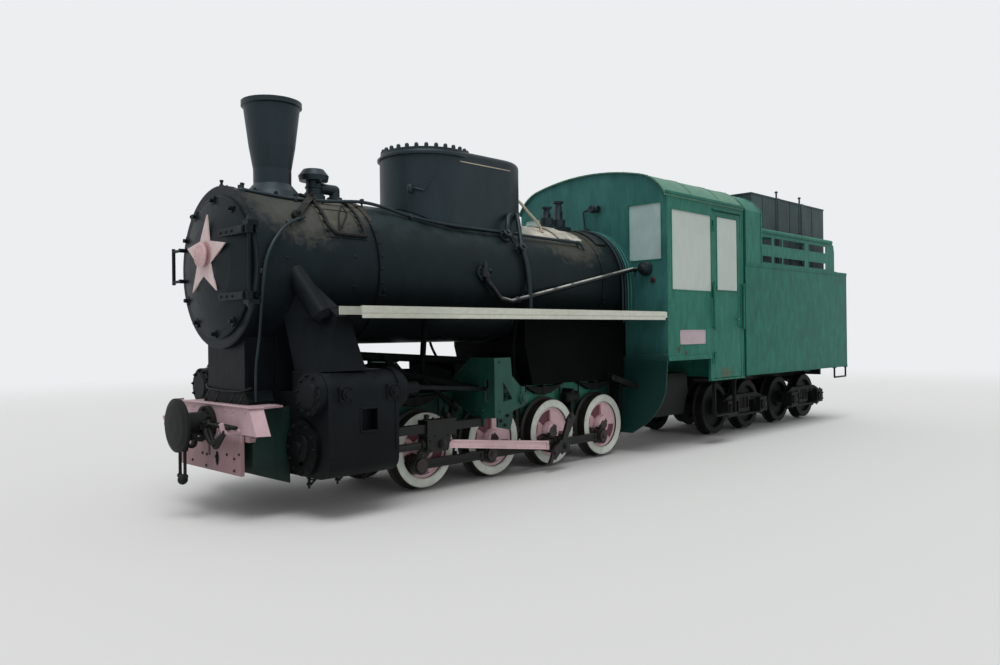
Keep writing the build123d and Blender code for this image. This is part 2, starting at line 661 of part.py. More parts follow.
def door_star():
    """Plain five-pointed star on its hub, standing off the door."""
    back = SMOKE_FRONT + SEAT + DOOR_DISH
    inner = STAR_R * math.sin(math.radians(18)) / math.sin(math.radians(54))
    tips = []
    for i in range(10):
        a = math.radians(90 + 36 * i)
        r = STAR_R if i % 2 == 0 else inner
        tips.append((r * math.cos(a), STAR_Z + r * math.sin(a)))
    star = cross_plate(tips, back + 8, back + 18)
    star += drum_x(back + SEAT, back + 10, 0, STAR_Z, STAR_HUB - 30)
    hub = [(back + 14, 0), (back + 14, STAR_HUB), (back + 34, STAR_HUB), (back + 40, STAR_HUB - 8),
           (back + 40, 0)]
    star += turned_x(hub, (0, STAR_Z))
    return star


def saddle():
    """Flanged box under the smokebox, narrower ahead of the cylinders, with a flared foot."""
    x0, x1 = SADDLE_X
    low = BEAM_TOP + SEAT
    nose = CYL_X[1] + 20
    body = block((x0, nose), (-SADDLE_HALF, SADDLE_HALF), (low, 1400))
    body += block((nose - 5, x1), (-SADDLE_NOSE, SADDLE_NOSE), (low, 1400))
    body += cross_plate([(-SADDLE_FOOT, low), (SADDLE_FOOT, low), (SADDLE_FOOT, low + 22),
                         (SADDLE_NOSE, low + 90), (-SADDLE_NOSE, low + 90), (-SADDLE_FOOT, low + 22)],
                        nose + 20, x1)
    return body - boiler_space()


def chimney():
    """Tapered stack with a rolled rim and a flared foot."""
    foot = BOILER_TOP - 20
    r, mouth = CHIMNEY_R, CHIMNEY_MOUTH
    outer = [(r - 1, foot), (r, foot + 200), (r + 30, foot + 370), (mouth - 16, CHIMNEY_TOP - 44),
             (mouth, CHIMNEY_TOP - 36), (mouth, CHIMNEY_TOP), (mouth - 32, CHIMNEY_TOP),
             (r - 19, foot + 200), (r - 28, foot)]
    stack = turned_z(outer, (CHIMNEY_X, 0))
    stack += turned_z([(r - 4, foot - 50), (r + 91, foot - 50), (r + 51, foot + 30), (r - 1, foot + 90),
                       (r - 4, foot + 90)], (CHIMNEY_X, 0))
    return stack - boiler_space()


def dome_casing():
    """Long casing over the dome and the sand box, with a bolted lid flange in front."""
    low = BOILER_Z + 250
    body = block((DOME_BACK_X, DOME_FRONT_X), (-DOME_HALF, DOME_HALF), (low, DOME_TOP))
    body += drum_z(DOME_FRONT_X, 0, low, DOME_TOP, DOME_HALF)
    body += drum_z(DOME_BACK_X, 0, low, DOME_TOP, DOME_HALF)
    top = body.edges().filter_by_position(Axis.Z, DOME_TOP - 1, DOME_TOP + 1)
    body = fillet(top, 45)
    lip, thick = DOME_FLANGE
    body += drum_z(DOME_FRONT_X, 0, DOME_TOP - 60, DOME_TOP - 60 + thick, DOME_HALF + lip)
    body += drum_z(DOME_FRONT_X, 0, DOME_TOP - 30, DOME_TOP + 4, DOME_HALF - 8)
    return body - boiler_space()


def relief_valve():
    """Mushroom valve with its elbow behind the chimney."""
    top = BOILER_TOP + 163
    piece = turned_z([(0, top - 240), (88, top - 240), (88, top - 135), (60, top - 125), (60, top),
                      (0, top)], (RELIEF_X, 0))
    piece += turned_z([(0, top - 20), (110, top - 20), (118, top + 20), (80, top + 70), (0, top + 80)],
                      (RELIEF_X, 0))
    reach = RELIEF_X - 190
    piece += bent_bar([(RELIEF_X, 0, top - 70), (reach, 0, top - 70), (reach, 0, BOILER_TOP - 60)], 42)
    return piece - boiler_space()


def safety_valves():
    """Two spring valves in their cages on one seat."""
    x0, x1 = SAFETY[1][0], SAFETY[0][0]
    seat = block((x0 - 90, x1 + 90), (-95, 95), (BOILER_TOP - 60, BOILER_TOP + 33))
    for x, top in SAFETY:
        seat += drum_z(x, 0, BOILER_TOP + 30, BOILER_TOP + 110, 72)
        seat += drum_z(x, 0, BOILER_TOP + 105, top - 16, 34)
        seat += drum_z(x, 0, top - 20, top, 56)
    return seat - boiler_space()


def firebox():
    """Firebox side sheets below the barrel and the ash pan between the wheels."""
    low = BOILER_Z - 200
    box = side_plate([(FIREBOX_X, low), (FIREBOX_X, 1140), (FIREBOX_X - 100, FIREBOX_LOW),
                      (CAB_FRONT + 40, FIREBOX_LOW), (CAB_FRONT + 40, low)], -FIREBOX_HALF, FIREBOX_HALF)
    pan_half = FRAME_Y - 20
    pan = cross_plate([(-pan_half, FIREBOX_LOW), (pan_half, FIREBOX_LOW), (pan_half, ASHPAN_LOW + 80),
                       (pan_half - 90, ASHPAN_LOW), (90 - pan_half, ASHPAN_LOW),
                       (-pan_half, ASHPAN_LOW + 80)], 700, 1200)
    return [box - boiler_space(), pan]


def running_boards():
    """Boards along the boiler with a deep edge strip and brackets below, in two lengths."""
    x0, x1 = BOARD_X
    low = BOARD_TOP - BOARD_EDGE
    board = block((x0, x1), (BOARD_IN, HALF_WIDTH), (BOARD_TOP - BOARD_T, BOARD_TOP))
    board += block((x0, x1), (HALF_WIDTH - 10, HALF_WIDTH), (low, BOARD_TOP))
    board -= block((BOARD_JOINT - 60, x1 + 5), (BOARD_IN - 5, 800), (low - 5, BOARD_TOP + 5))
    board -= block((BOARD_JOINT - 3, BOARD_JOINT), (HALF_WIDTH - 4, HALF_WIDTH + 5),
                   (low - 5, BOARD_TOP + 5))
    board -= block((BOARD_JOINT, x1 + 5), (BOARD_IN, HALF_WIDTH + 5), (BOARD_TOP - 4, BOARD_TOP + 5))
    for x in (3700, 2900, 2200, 1500, 800):
        board += block((x, x + 12), (BOARD_IN, HALF_WIDTH - 10), (low, BOARD_TOP))
    return pair(board - boiler_space())


def roof_section(inset, low):
    """Closed outline in Y and Z under the roof arch, down to a level."""
    w = HALF_WIDTH - inset
    k = HALF_WIDTH - 306
    z_k = 2868 - inset
    z_mid = ROOF_TOP - inset
    side_mid = (HALF_WIDTH - 109 - inset * 0.8, 2772 - inset * 0.6)
    return (Polyline((-w, EAVE_Z), (-w, low), (w, low), (w, EAVE_Z))
            + ThreePointArc((w, EAVE_Z), side_mid, (k, z_k))
            + ThreePointArc((k, z_k), (0, z_mid), (-k, z_k))
            + ThreePointArc((-k, z_k), (-side_mid[0], side_mid[1]), (-w, EAVE_Z)))


def roof_solid(inset, low, x0, x1):
    """Solid under the roof arch between two places along X."""
    plane = Plane((x0, 0, 0), x_dir=(0, 1, 0), z_dir=(1, 0, 0))
    return extrude(plane * make_face(roof_section(inset, low)), amount=x1 - x0, dir=(1, 0, 0))


def cab_roof():
    """Arched roof sheet with a small overhang."""
    outer = roof_solid(-SEAT - ROOF_T, EAVE_Z - 20, CAB_BACK - ROOF_REAR, CAB_FRONT + 30)
    return outer - roof_solid(-SEAT, EAVE_Z - 60, CAB_BACK - 60, CAB_FRONT + 90)


def cab_front():
    """Front wall round the boiler with two windows."""
    wall = roof_solid(0, CAB_LOW_FRONT, CAB_FRONT - CAB_WALL, CAB_FRONT)
    wall -= boiler_space()
    ends = (CAB_FRONT - 50, CAB_FRONT + 90)
    wall -= block(ends, (-FIREBOX_HALF, FIREBOX_HALF), (CAB_LOW_FRONT - 50, BOILER_Z))
    y0, y1, z0, z1 = FRONT_WINDOW
    for side in (1, -1):
        wall -= block(ends, (side * y0, side * y1), (z0, z1))
    return wall


def cab_side():
    """Side panel with its window and the door opening."""
    x0 = CAB_BACK
    x1 = CAB_FRONT - CAB_WALL
    top = EAVE_Z - SEAT
    panel = side_plate([(x1, CAB_LOW_FRONT), (x1, top), (x0, top), (x0, CAB_LOW_BACK),
                        (CAB_STEP_X, CAB_LOW_BACK), (CAB_STEP_X, CAB_LOW_FRONT)], CAB_IN, HALF_WIDTH)
    panel -= block(WINDOW[:2], (CAB_IN - 5, HALF_WIDTH + 5), WINDOW[2:])
    return panel - block(DOOR, (CAB_IN - 5, HALF_WIDTH + 5), DOOR_Z)


def knuckle(z, reach, seat):
    """Barrel of the door hinge with its leaf, which reaches along X and lies on the panel at seat."""
    x = DOOR[1] - RUN / 2
    edge = x + math.copysign(RUN, reach)
    leaf = block((edge, x + reach), (seat, DOOR_HINGE_Y - 2), (z, z + KNUCKLE_HIGH))
    barrel = drum_z(x, DOOR_HINGE_Y, z, z + KNUCKLE_HIGH, KNUCKLE_R)
    return barrel + leaf


def cab_back():
    """Rear wall with an opening to the tender."""
    half, high = BACK_OPENING
    ends = (CAB_BACK - 50, CAB_BACK + 90)
    wall = roof_solid(0, CAB_LOW_BACK, CAB_BACK, CAB_BACK + CAB_WALL)
    wall -= block(ends, (-half, half), (FLOOR_Z + 20, high))
    for side in (1, -1):
        wall -= block(ends, (side * CAB_IN, side * (HALF_WIDTH + 5)), (600, EAVE_Z))
    return wall


def cab_floor():
    """Floor plate between the cab walls."""
    return block((CAB_BACK + CAB_WALL, CAB_FRONT - CAB_WALL), (-CAB_IN, CAB_IN), (FLOOR_Z - 30, FLOOR_Z))


def window_boards():
    """Painted boards that fill the side and front windows."""
    side = block(WINDOW[:2], (HALF_WIDTH - 22, HALF_WIDTH - 6), WINDOW[2:])
    front = block((CAB_FRONT - 24, CAB_FRONT - 8), FRONT_WINDOW[:2], FRONT_WINDOW[2:])
    return pair(side) + pair(front)


def cab_door():
    """Door panel with a boarded window and a handle, hinged at its front edge."""
    x0, x1 = DOOR[0] + FACE, DOOR[1] - RUN
    y0, y1 = CAB_IN + 2, HALF_WIDTH - 2
    panel = block((x0, x1), (y0, y1), (DOOR_Z[0] + FACE, DOOR_Z[1] - FACE))
    panel -= block(DOOR_WINDOW[:2], (y1 - 8, y1 + 5), DOOR_WINDOW[2:])
    panel += bar((x0 + 50, y1, 1380), (x0 + 50, y1 + 24, 1380), 10)
    panel += bar((x0 + 50, y1 + 20, 1380), (x0 + 130, y1 + 20, 1380), 8)
    for z in KNUCKLES:
        panel += knuckle(z + KNUCKLE_HIGH + RUN, -50, y1 - 2)
    return panel


def backhead():
    """Boiler end inside the cab with a fire door."""
    ends = (CAB_FRONT - 160, CAB_FRONT)
    plate = drum_x(*ends, 0, BOILER_Z, BOILER_R - 20)
    plate += block(ends, (-FIREBOX_HALF + 50, FIREBOX_HALF - 50), (FLOOR_Z, BOILER_Z))
    return plate + block((ends[0] - 30, ends[0] + 5), (-170, 170), (1260, 1560))


def apron():
    """Curved plate below the cab front on each side."""
    top = CAB_LOW_FRONT - SEAT
    start, bend, end = (HALF_WIDTH - 40, 643), (HALF_WIDTH - 140, 450), (HALF_WIDTH - 290, 300)
    plane = Plane((CAB_FRONT - CAB_WALL, 0, 0), x_dir=(0, 1, 0), z_dir=(1, 0, 0))
    edge = (Line((HALF_WIDTH - 15, top), start) + ThreePointArc(start, bend, end)
            + Polyline(end, (FRAME_OUT + 225, 200), (FRAME_OUT, 200), (FRAME_OUT, top),
                       (HALF_WIDTH - 15, top)))
    return pair(extrude(plane * make_face(edge), amount=CAB_WALL / 2, dir=(1, 0, 0)))


def beam_face(x, grow):
    """Face of the beam at one place, wider towards the back."""
    top, low = BEAM_HALF_TOP + grow, BEAM_HALF_LOW + grow
    points = [(-top, BEAM_TOP), (top, BEAM_TOP), (low, BEAM_LOW), (-low, BEAM_LOW)]
    return make_face(Polyline([(x, y, z) for y, z in points], close=True))


def front_beam():
    """Flared beam with its slotted lower plate, the deck behind it and the two shackle hooks."""
    beam = loft([beam_face(BEAM_X, 0), beam_face(FRAME_FRONT + SEAT, BEAM_FLARE)], ruled=True)
    half, z0, z1 = LOWER_SLOT
    lower = block((BEAM_X - LOWER_PLATE, BEAM_X), (-LOWER_HALF, LOWER_HALF), (LOWER_LOW, BEAM_LOW + 5))
    lower -= block((BEAM_X - 40, BEAM_X + 5), (-half, half), (z0, z1))
    rear = CYL_X[1] + 80
    deck_half = BEAM_HALF_TOP - 14
    deck = flat_plate([(FRAME_FRONT + 10, -deck_half), (FRAME_FRONT + 10, deck_half),
                       (rear, deck_half - 50), (rear, 50 - deck_half)], FRAME_TOP + SEAT, BEAM_TOP)
    deck += block((SADDLE_X[0], rear + 5), (-FRAME_Y, FRAME_Y), (FRAME_TOP + SEAT, BEAM_TOP))
    beam += lower + deck
    for y in (HOOK_Y, -HOOK_Y):
        bend = [(BEAM_X - 5, y, HOOK_Z), (BEAM_X + 112, y, HOOK_Z), (BEAM_X + 128, y, HOOK_Z + 62)]
        beam += bent_bar(bend, HOOK_R)
    return beam


def coupler(x, sign):
    """Centre buffer with a plain convex head, and a bored lug below its shank."""
    face = sign * HALF_LENGTH
    head = [(face - sign * 62, 0), (face - sign * 62, SHANK_R), (face - sign * 44, BUFFER_D / 2),
            (face - sign * 24, BUFFER_D / 2), (face - sign * 8, BUFFER_D / 2 - 40), (face, 60), (face, 0)]
    solid = turned_x(head, (0, BUFFER_Z))
    solid += drum_x(x, x + sign * 40, 0, BUFFER_Z, SHANK_R + 38)
    solid += drum_x(x, face - sign * 60, 0, BUFFER_Z, SHANK_R)
    lug_x = face - sign * LUG_BACK
    lug = block((lug_x - 40, lug_x + 40), (-25, 25), (LUG_Z, BUFFER_Z - 60))
    lug += drum_y(lug_x, LUG_Z, -25, 25, 40)
    solid += lug
    return solid - drum_y(lug_x, LUG_Z, -60, 60, LUG_BORE / 2)


def front_coupler():
    """Front buffer with its hanging link, side hook and the shackle laid over the beam's hook."""
    solid = coupler(BEAM_X + SEAT, 1)
    x = HALF_LENGTH - LINK_BACK
    solid += block((x - 12, x + 12), (-10, 10), (LINK_TOP - 12, BUFFER_Z - 70))
    solid += drum_y(x, LINK_TOP, -46, 46, 13)
    for y in (-38, 38):
        solid += drum_z(x, y, LINK_LOW, LINK_TOP, 11)
    solid += drum_y(x, LINK_LOW, -46, 46, 14)
    solid += Pos(x, 0, LINK_LOW - 26) * Sphere(34)
    hook_x = BEAM_X + 125
    hook = drum_y(hook_x, BUFFER_Z - 54, 96, 128, 56) - drum_y(hook_x, BUFFER_Z - 54, 90, 140, 27)
    hook -= block((hook_x, hook_x + 70), (90, 140), (BUFFER_Z - 60, BUFFER_Z + 10))
    hook += block((hook_x - 56, hook_x - 20), (SHANK_R - 30, 128), (BUFFER_Z - 60, BUFFER_Z + 20))
    solid += hook
    high = HOOK_Z + HOOK_R + SHACKLE_R + SEAT
    near, far = BEAM_X + 40, BEAM_X + 88
    for end in (near, far):
        arm = [(end, 112, BUFFER_Z - 20), (end, 200, high + 8), (end, HOOK_Y + 34, high)]
        solid += bent_bar(arm, SHACKLE_R)
    solid += drum_x(near, far, HOOK_Y + 34, high, SHACKLE_R)
    return solid + drum_x(near, far, 112, BUFFER_Z - 20, SHACKLE_R)


def handrails():
    """Rails beside the cab doors and the fixed leaves of the door hinges."""
    pieces = []
    y = HALF_WIDTH + GRAB_OFF
    low, high = GRAB_Z
    for x in (DOOR[1] + 25, DOOR[0] - 25):
        rail = bar((x, y, low), (x, y, high), GRAB_R)
        for z in (low + 20, high - 20):
            rail += bar((x, HALF_WIDTH, z), (x, y, z), GRAB_R - 3)
        pieces += pair(rail)
    for z in KNUCKLES:
        pieces += pair(knuckle(z, 40, HALF_WIDTH + SEAT))
    return pieces


def cab_steps():
    """Two hangers with a tread below each cab door."""
    x0, x1 = STEP_X
    tread = block((x0, x1), (HALF_WIDTH - 130, HALF_WIDTH - 10), STEP_Z)
    for x in (x0, x1 - 12):
        tread += block((x, x + 12), (HALF_WIDTH - 70, CAB_IN), (STEP_Z[0], CAB_LOW_BACK))
        tread += block((x, x + 12), (HALF_WIDTH - 70, CAB_IN + 5), (CAB_LOW_BACK - 40, CAB_LOW_BACK - SEAT))
    return pair(tread)


def feed_pipes():
    """Check valve on each boiler side with its bent pipe to the cab front."""
    y = FEED_Y
    pipe = bent_bar([(2323, y, 1767), (2300, y, 1700), (2146, y, 1552), (2010, y, 1529),
                     (CAB_FRONT + 60, y + 20, 1895), (CAB_FRONT + SEAT, y + 20, 1895)], 22)
    valve = drum_z(2323, y, 1735, 1800, 38) + drum_z(2323, y, 1795, 1835, 22)
    valve += drum_y(2323, 1767, BOILER_R - 60, y, 40)
    piece = pipe + valve
    return pair(piece - boiler_space())


def tender_tank():
    """Water tank with its upper edge strip, and a stirrup step under each rear corner."""
    x0, x1 = TENDER_BACK, TENDER_FRONT
    tank = block((x0, x1), (-HALF_WIDTH + 6, HALF_WIDTH - 6), (TENDER_LOW, TENDER_TOP))
    tank += block((x0, x1), (-HALF_WIDTH, HALF_WIDTH), (TENDER_TOP - 40, TENDER_TOP))
    y, top = HALF_WIDTH - 25, TENDER_LOW - SEAT
    near, far = x0 + 20, x0 + 400
    bend = [(near, y, top - 4), (near, y, STIRRUP_Z), (far, y, STIRRUP_Z), (far, y, top - 4)]
    stirrup = bent_bar(bend, STIRRUP_R)
    for x in (near, far):
        stirrup += block((x - 30, x + 30), (y - 18, y + 18), (top - 10, top))
    return [tank] + pair(stirrup)


def coal_rails():
    """Side panels with two rows of slots and a tube on top."""
    x0, x1 = RAIL_X
    low = TENDER_TOP + SEAT
    panel = side_plate([(x1, low), (x1, RAIL_TOP), (x0 + 110, RAIL_TOP), (x0 + 25, RAIL_TOP - 40),
                        (x0, RAIL_TOP - 130), (x0, low)], RAIL_Y - 6, RAIL_Y)
    for a, b in RAIL_SLOTS:
        for z0, z1 in RAIL_ROWS:
            panel -= block((a, b), (RAIL_Y - 20, RAIL_Y + 20), (z0, z1))
    tube = drum_x(x0 + 105, x1, RAIL_Y - 3, RAIL_TOP, RAIL_TUBE)
    stays = [block((x - 6, x + 6), (BUNKER_HALF + 1, RAIL_Y - 3), (low + 330, low + 350))
             for x in (RAIL_SLOTS[0][0] - 30, RAIL_SLOTS[2][0] - 60)]
    return pair(panel + tube + stays[0] + stays[1])


def bunker():
    """Open-topped fuel box with two ribs a side."""
    x0, x1 = BUNKER_X
    w, wall = BUNKER_HALF, BUNKER_WALL
    low = TENDER_TOP + SEAT
    box = block((x0, x1), (-w, w), (low, BUNKER_TOP))
    for x in BUNKER_RIBS:
        box += block((x - 30, x + 30), (-w - 25, w + 25), (low, BUNKER_TOP))
    return box - block((x0 + wall, x1 - wall), (wall - w, w - wall), (TENDER_TOP + wall, BUNKER_TOP + 5))


def tender_screen():
    """Arched screen and hood behind the cab."""
    hood = roof_solid(4, TENDER_TOP + SEAT, RAIL_X[1] + SEAT, TENDER_FRONT)
    hood -= roof_solid(34, TENDER_TOP - 30, RAIL_X[1] - 40, TENDER_FRONT - 30)
    return hood - block((TENDER_FRONT - 60, TENDER_FRONT + 60), (-480, 480), (TENDER_TOP + 40, 2500))


def tender_frame():
    """Sills, bolsters with centre pivots and end beams below the tank."""
    top = TENDER_LOW
    low = top - SILL_DEPTH
    front = TENDER_FRONT - 20
    sill = block((TENDER_BACK, front), SILL_Y, (low, top))
    frame = sill + other_side(sill)
    frame += block((front - 60, front), (-700, 700), (top - 60, top))
    frame += block((front - 60, front), (-SILL_Y[1], SILL_Y[1]), (DRAWBAR_Z[0] - 20, top))
    rear = (TENDER_BACK - TENDER_BEAM, TENDER_BACK)
    frame += block(rear, (-590, 590), (low + 10, top + 60)) + block(rear, (-180, 180), (540, top))
    for x in BOGIE_X:
        frame += block((x - 90, x + 90), (-700, 700), (top - 60, top))
        frame += block((x - 90, x + 90), (-SILL_Y[1], SILL_Y[1]), (BOLSTER_TOP + 20, top))
        frame += drum_z(x, 0, BOLSTER_TOP - 60, BOLSTER_TOP + 40, PIVOT_D / 2)
        frame += drum_z(x, 0, BOLSTER_TOP + SEAT, BOLSTER_TOP + 30, 140)
    return frame


def drawbar():
    """Bar from the tender front to the pin under the cab, with an eye."""
    z0, z1 = DRAWBAR_Z
    solid = block((TENDER_FRONT - 20, PIN_X), (-45, 45), (z0, z1)) + drum_z(PIN_X, 0, z0, z1, 75)
    return solid - drum_z(PIN_X, 0, z0 - 5, z1 + 5, PIN_D / 2 + SEAT)


def bogie_frame(x):
    """Side bars with coil springs, bolster and axle boxes with their lids."""
    half = BOGIE_BASE / 2
    y0, y1 = BOGIE_Y
    low, mid, high = AXLE_Z - 25, AXLE_Z + 75, AXLE_Z + 155
    side = side_plate([(x - half - 110, low), (x - half - 110, high - 60), (x - half + 60, high),
                       (x + half - 60, high), (x + half + 110, high - 60), (x + half + 110, low),
                       (x + half - 110, low), (x + half - 140, mid), (x + 130, mid), (x + 130, low - 30),
                       (x - 130, low - 30), (x - 130, mid), (x - half + 140, mid),
                       (x - half + 110, low)], y0, y1)
    side -= block((x - 105, x + 105), (y0 - 5, y1 + 5), (low + 5, mid + 40))
    for step in (-52, 52):
        side += drum_z(x + step, (y0 + y1) / 2, low, mid + 45, 34)
        for level in (low + 22, low + 54, low + 86, low + 118):
            side += drum_z(x + step, (y0 + y1) / 2, level, level + 16, 44)
    for a in (x - half, x + half):
        side += block((a - 90, a + 90), (y0, y1 + 60), (AXLE_Z - 80, AXLE_Z + 95))
        side += block((a - 62, a + 62), (y1 + 50, y1 + 76), (AXLE_Z - 50, AXLE_Z + 60))
        side -= drum_y(a, AXLE_Z, y0 - 10, y1, JOURNAL_R + 1)
    frame = side + other_side(side)
    frame += block((x - 70, x + 70), (-y0 - 10, y0 + 10), (mid, mid + 70))
    frame += drum_z(x, 0, mid + 40, BOLSTER_TOP, 140)
    return frame - drum_z(x, 0, BOLSTER_TOP - 70, BOLSTER_TOP + 10, PIVOT_D / 2 + RUN)


def tender_wheelset(x):
    """Axle with journals and two disc wheels."""
    solid = drum_y(x, AXLE_Z, -WHEEL_IN - 10, WHEEL_IN + 10, JOURNAL_R + 10)
    reach = BOGIE_Y[1] - 10
    solid += drum_y(x, AXLE_Z, -reach, reach, JOURNAL_R)
    edge = TYRE_BORE + 5
    for side in (1, -1):
        y0, y1 = side * WHEEL_IN, side * WHEEL_OUT
        disc = turned_y([(0, y0), (90, y0), (100, y0 + side * 40), (edge, y0 + side * 45),
                         (edge, y0 + side * 75), (100, y0 + side * 85), (90, y1), (0, y1)], (x, AXLE_Z))
        solid += disc + turned_y(tyre_profile(side), (x, AXLE_Z))
    return solid


write("main_frame", main_frame())
write("axle_boxes", axle_boxes())
for number, place in enumerate(AXLES, 1):
    write(f"wheelset_{number}", driving_wheelset(place, number == MAIN + 1))
    write(f"tyres_{number}", tyres(place))
for side, word in ((1, "left"), (-1, "right")):
    write(f"coupling_rod_{word}", coupling_rod(side))
    write(f"crosshead_{word}", crosshead(side))
    write(f"connecting_rod_{word}", connecting_rod(side))
    write(f"cab_side_{word}", to_side(cab_side(), side))
    write(f"cab_door_{word}", to_side(cab_door(), side))
write("slide_bars", slide_bars())
write("cylinders", pair(cylinder()))
write("steam_pipes", steam_pipes())
write("motion_brackets", motion_brackets())
write("boiler", boiler())
write("smokebox", smokebox())
write("smokebox_door", smokebox_door())
write("door_star", door_star())
write("saddle", saddle())
write("chimney", chimney())
write("dome_casing", dome_casing())
write("relief_valve", relief_valve())
write("safety_valves", safety_valves())
write("firebox", firebox())
write("running_boards", running_boards())
write("cab_roof", cab_roof())
write("cab_front", cab_front())
write("cab_back", cab_back())
write("cab_floor", cab_floor())
write("window_boards", window_boards())
write("backhead", backhead())
write("apron", apron())
write("front_beam", front_beam())
write("front_coupler", front_coupler())
write("handrails", handrails())
write("cab_steps", cab_steps())
write("feed_pipes", feed_pipes())
write("tender_tank", tender_tank())
write("coal_rails", coal_rails())
write("bunker", bunker())
write("tender_screen", tender_screen())
write("tender_frame", tender_frame())
write("rear_coupler", coupler(TENDER_BACK - TENDER_BEAM, -1))
write("drawbar", drawbar())
for number, place in enumerate(BOGIE_X, 1):
    write(f"bogie_{number}", bogie_frame(place))
    for step, word in ((0.5, "front"), (-0.5, "rear")):
        write(f"bogie_{number}_wheelset_{word}", tender_wheelset(place + BOGIE_BASE * step))
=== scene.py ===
"""Narrow-gauge tender steam locomotive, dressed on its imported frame.

Metres. +X is forward, +Y the left side, +Z up. Every piece is made where it belongs at rest.
"""
import logging
import math
from dataclasses import dataclass, field
from enum import Enum
from typing import Callable, ClassVar, Iterable, Iterator, Mapping, Sequence

import bmesh
import bpy
from mathutils import Matrix, Vector


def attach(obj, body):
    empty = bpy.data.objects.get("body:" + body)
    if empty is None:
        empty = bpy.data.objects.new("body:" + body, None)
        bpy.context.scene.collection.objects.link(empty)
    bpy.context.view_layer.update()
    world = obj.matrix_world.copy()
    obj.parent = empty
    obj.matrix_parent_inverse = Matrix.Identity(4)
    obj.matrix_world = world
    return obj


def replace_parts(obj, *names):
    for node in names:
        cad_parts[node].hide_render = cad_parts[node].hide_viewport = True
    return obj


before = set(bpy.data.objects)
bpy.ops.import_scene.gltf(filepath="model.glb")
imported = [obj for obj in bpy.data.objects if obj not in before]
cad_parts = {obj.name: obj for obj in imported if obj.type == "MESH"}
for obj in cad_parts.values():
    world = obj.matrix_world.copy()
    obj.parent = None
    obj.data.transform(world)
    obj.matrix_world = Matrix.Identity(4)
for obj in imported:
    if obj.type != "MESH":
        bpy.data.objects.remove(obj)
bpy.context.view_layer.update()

logging.basicConfig(level=logging.INFO, format="%(message)s")
LOG = logging.getLogger("locomotive")

Point = Sequence[float]
Colour = tuple[int, int, int]
Value = float | Sequence[float] | bpy.types.NodeSocket
Spot = Mapping[str, bpy.types.NodeSocket]
X, Y, Z = (1, 0, 0), (0, 1, 0), (0, 0, 1)
BACK, DOWN = (-1, 0, 0), (0, 0, -1)
SIDES = ((1, "left"), (-1, "right"))

BOILER_Z = 1.747
BOILER_R = 0.57
AXLE_Z = 0.325
AXLES = (2.9, 2.12, 1.34, 0.56)
AXLE_PITCH = 0.78
HALF_WIDTH = 0.99
CRANK_PINS = {1: (0.1097, -0.1023), -1: (-0.1023, -0.1097)}


def linear(colour: Colour) -> tuple[float, float, float, float]:
    """Turns a paint-card colour, 0 to 255, into the shader's own numbers.

    Args:
        colour: red, green and blue as they look on the surface.

    Returns:
        The four channels that a colour socket takes.
    """
    parts = [c / 255 for c in colour]
    channels = [p / 12.92 if p <= 0.04045 else ((p + 0.055) / 1.055) ** 2.4 for p in parts]
    return (*channels, 1.0)


def around_boiler(x: float, degrees: float, lift: float = 0.0) -> Vector:
    """A point on the boiler's skin.

    Args:
        x: place along the boiler.
        degrees: angle from the left side towards the top.
        lift: distance off the skin.

    Returns:
        The point in the object's frame.
    """
    turn = math.radians(degrees)
    reach = BOILER_R + lift
    return Vector((x, reach * math.cos(turn), BOILER_Z + reach * math.sin(turn)))


def outward(point: Vector) -> Vector:
    """The direction from the boiler's axis to a point."""
    return Vector((0, point.y, point.z - BOILER_Z)).normalized()


def spread(first: float, last: float, count: int) -> list[float]:
    """Evenly spaced values from the first to the last."""
    return [first + (last - first) * step / (count - 1) for step in range(count)]


def circle(centre: Point, radius: float, angles: Iterable[float],
        plane: tuple[Point, Point] = (Y, Z)) -> list[Vector]:
    """Points on a circle.

    Args:
        centre: its middle.
        radius: its radius.
        angles: a point's angles in degrees.
        plane: the directions at 0 and at 90 degrees.

    Returns:
        The points in the order of the angles.
    """
    first, second = Vector(plane[0]), Vector(plane[1])
    turns = [math.radians(angle) for angle in angles]
    return [Vector(centre) + (first * math.cos(turn) + second * math.sin(turn)) * radius
        for turn in turns]


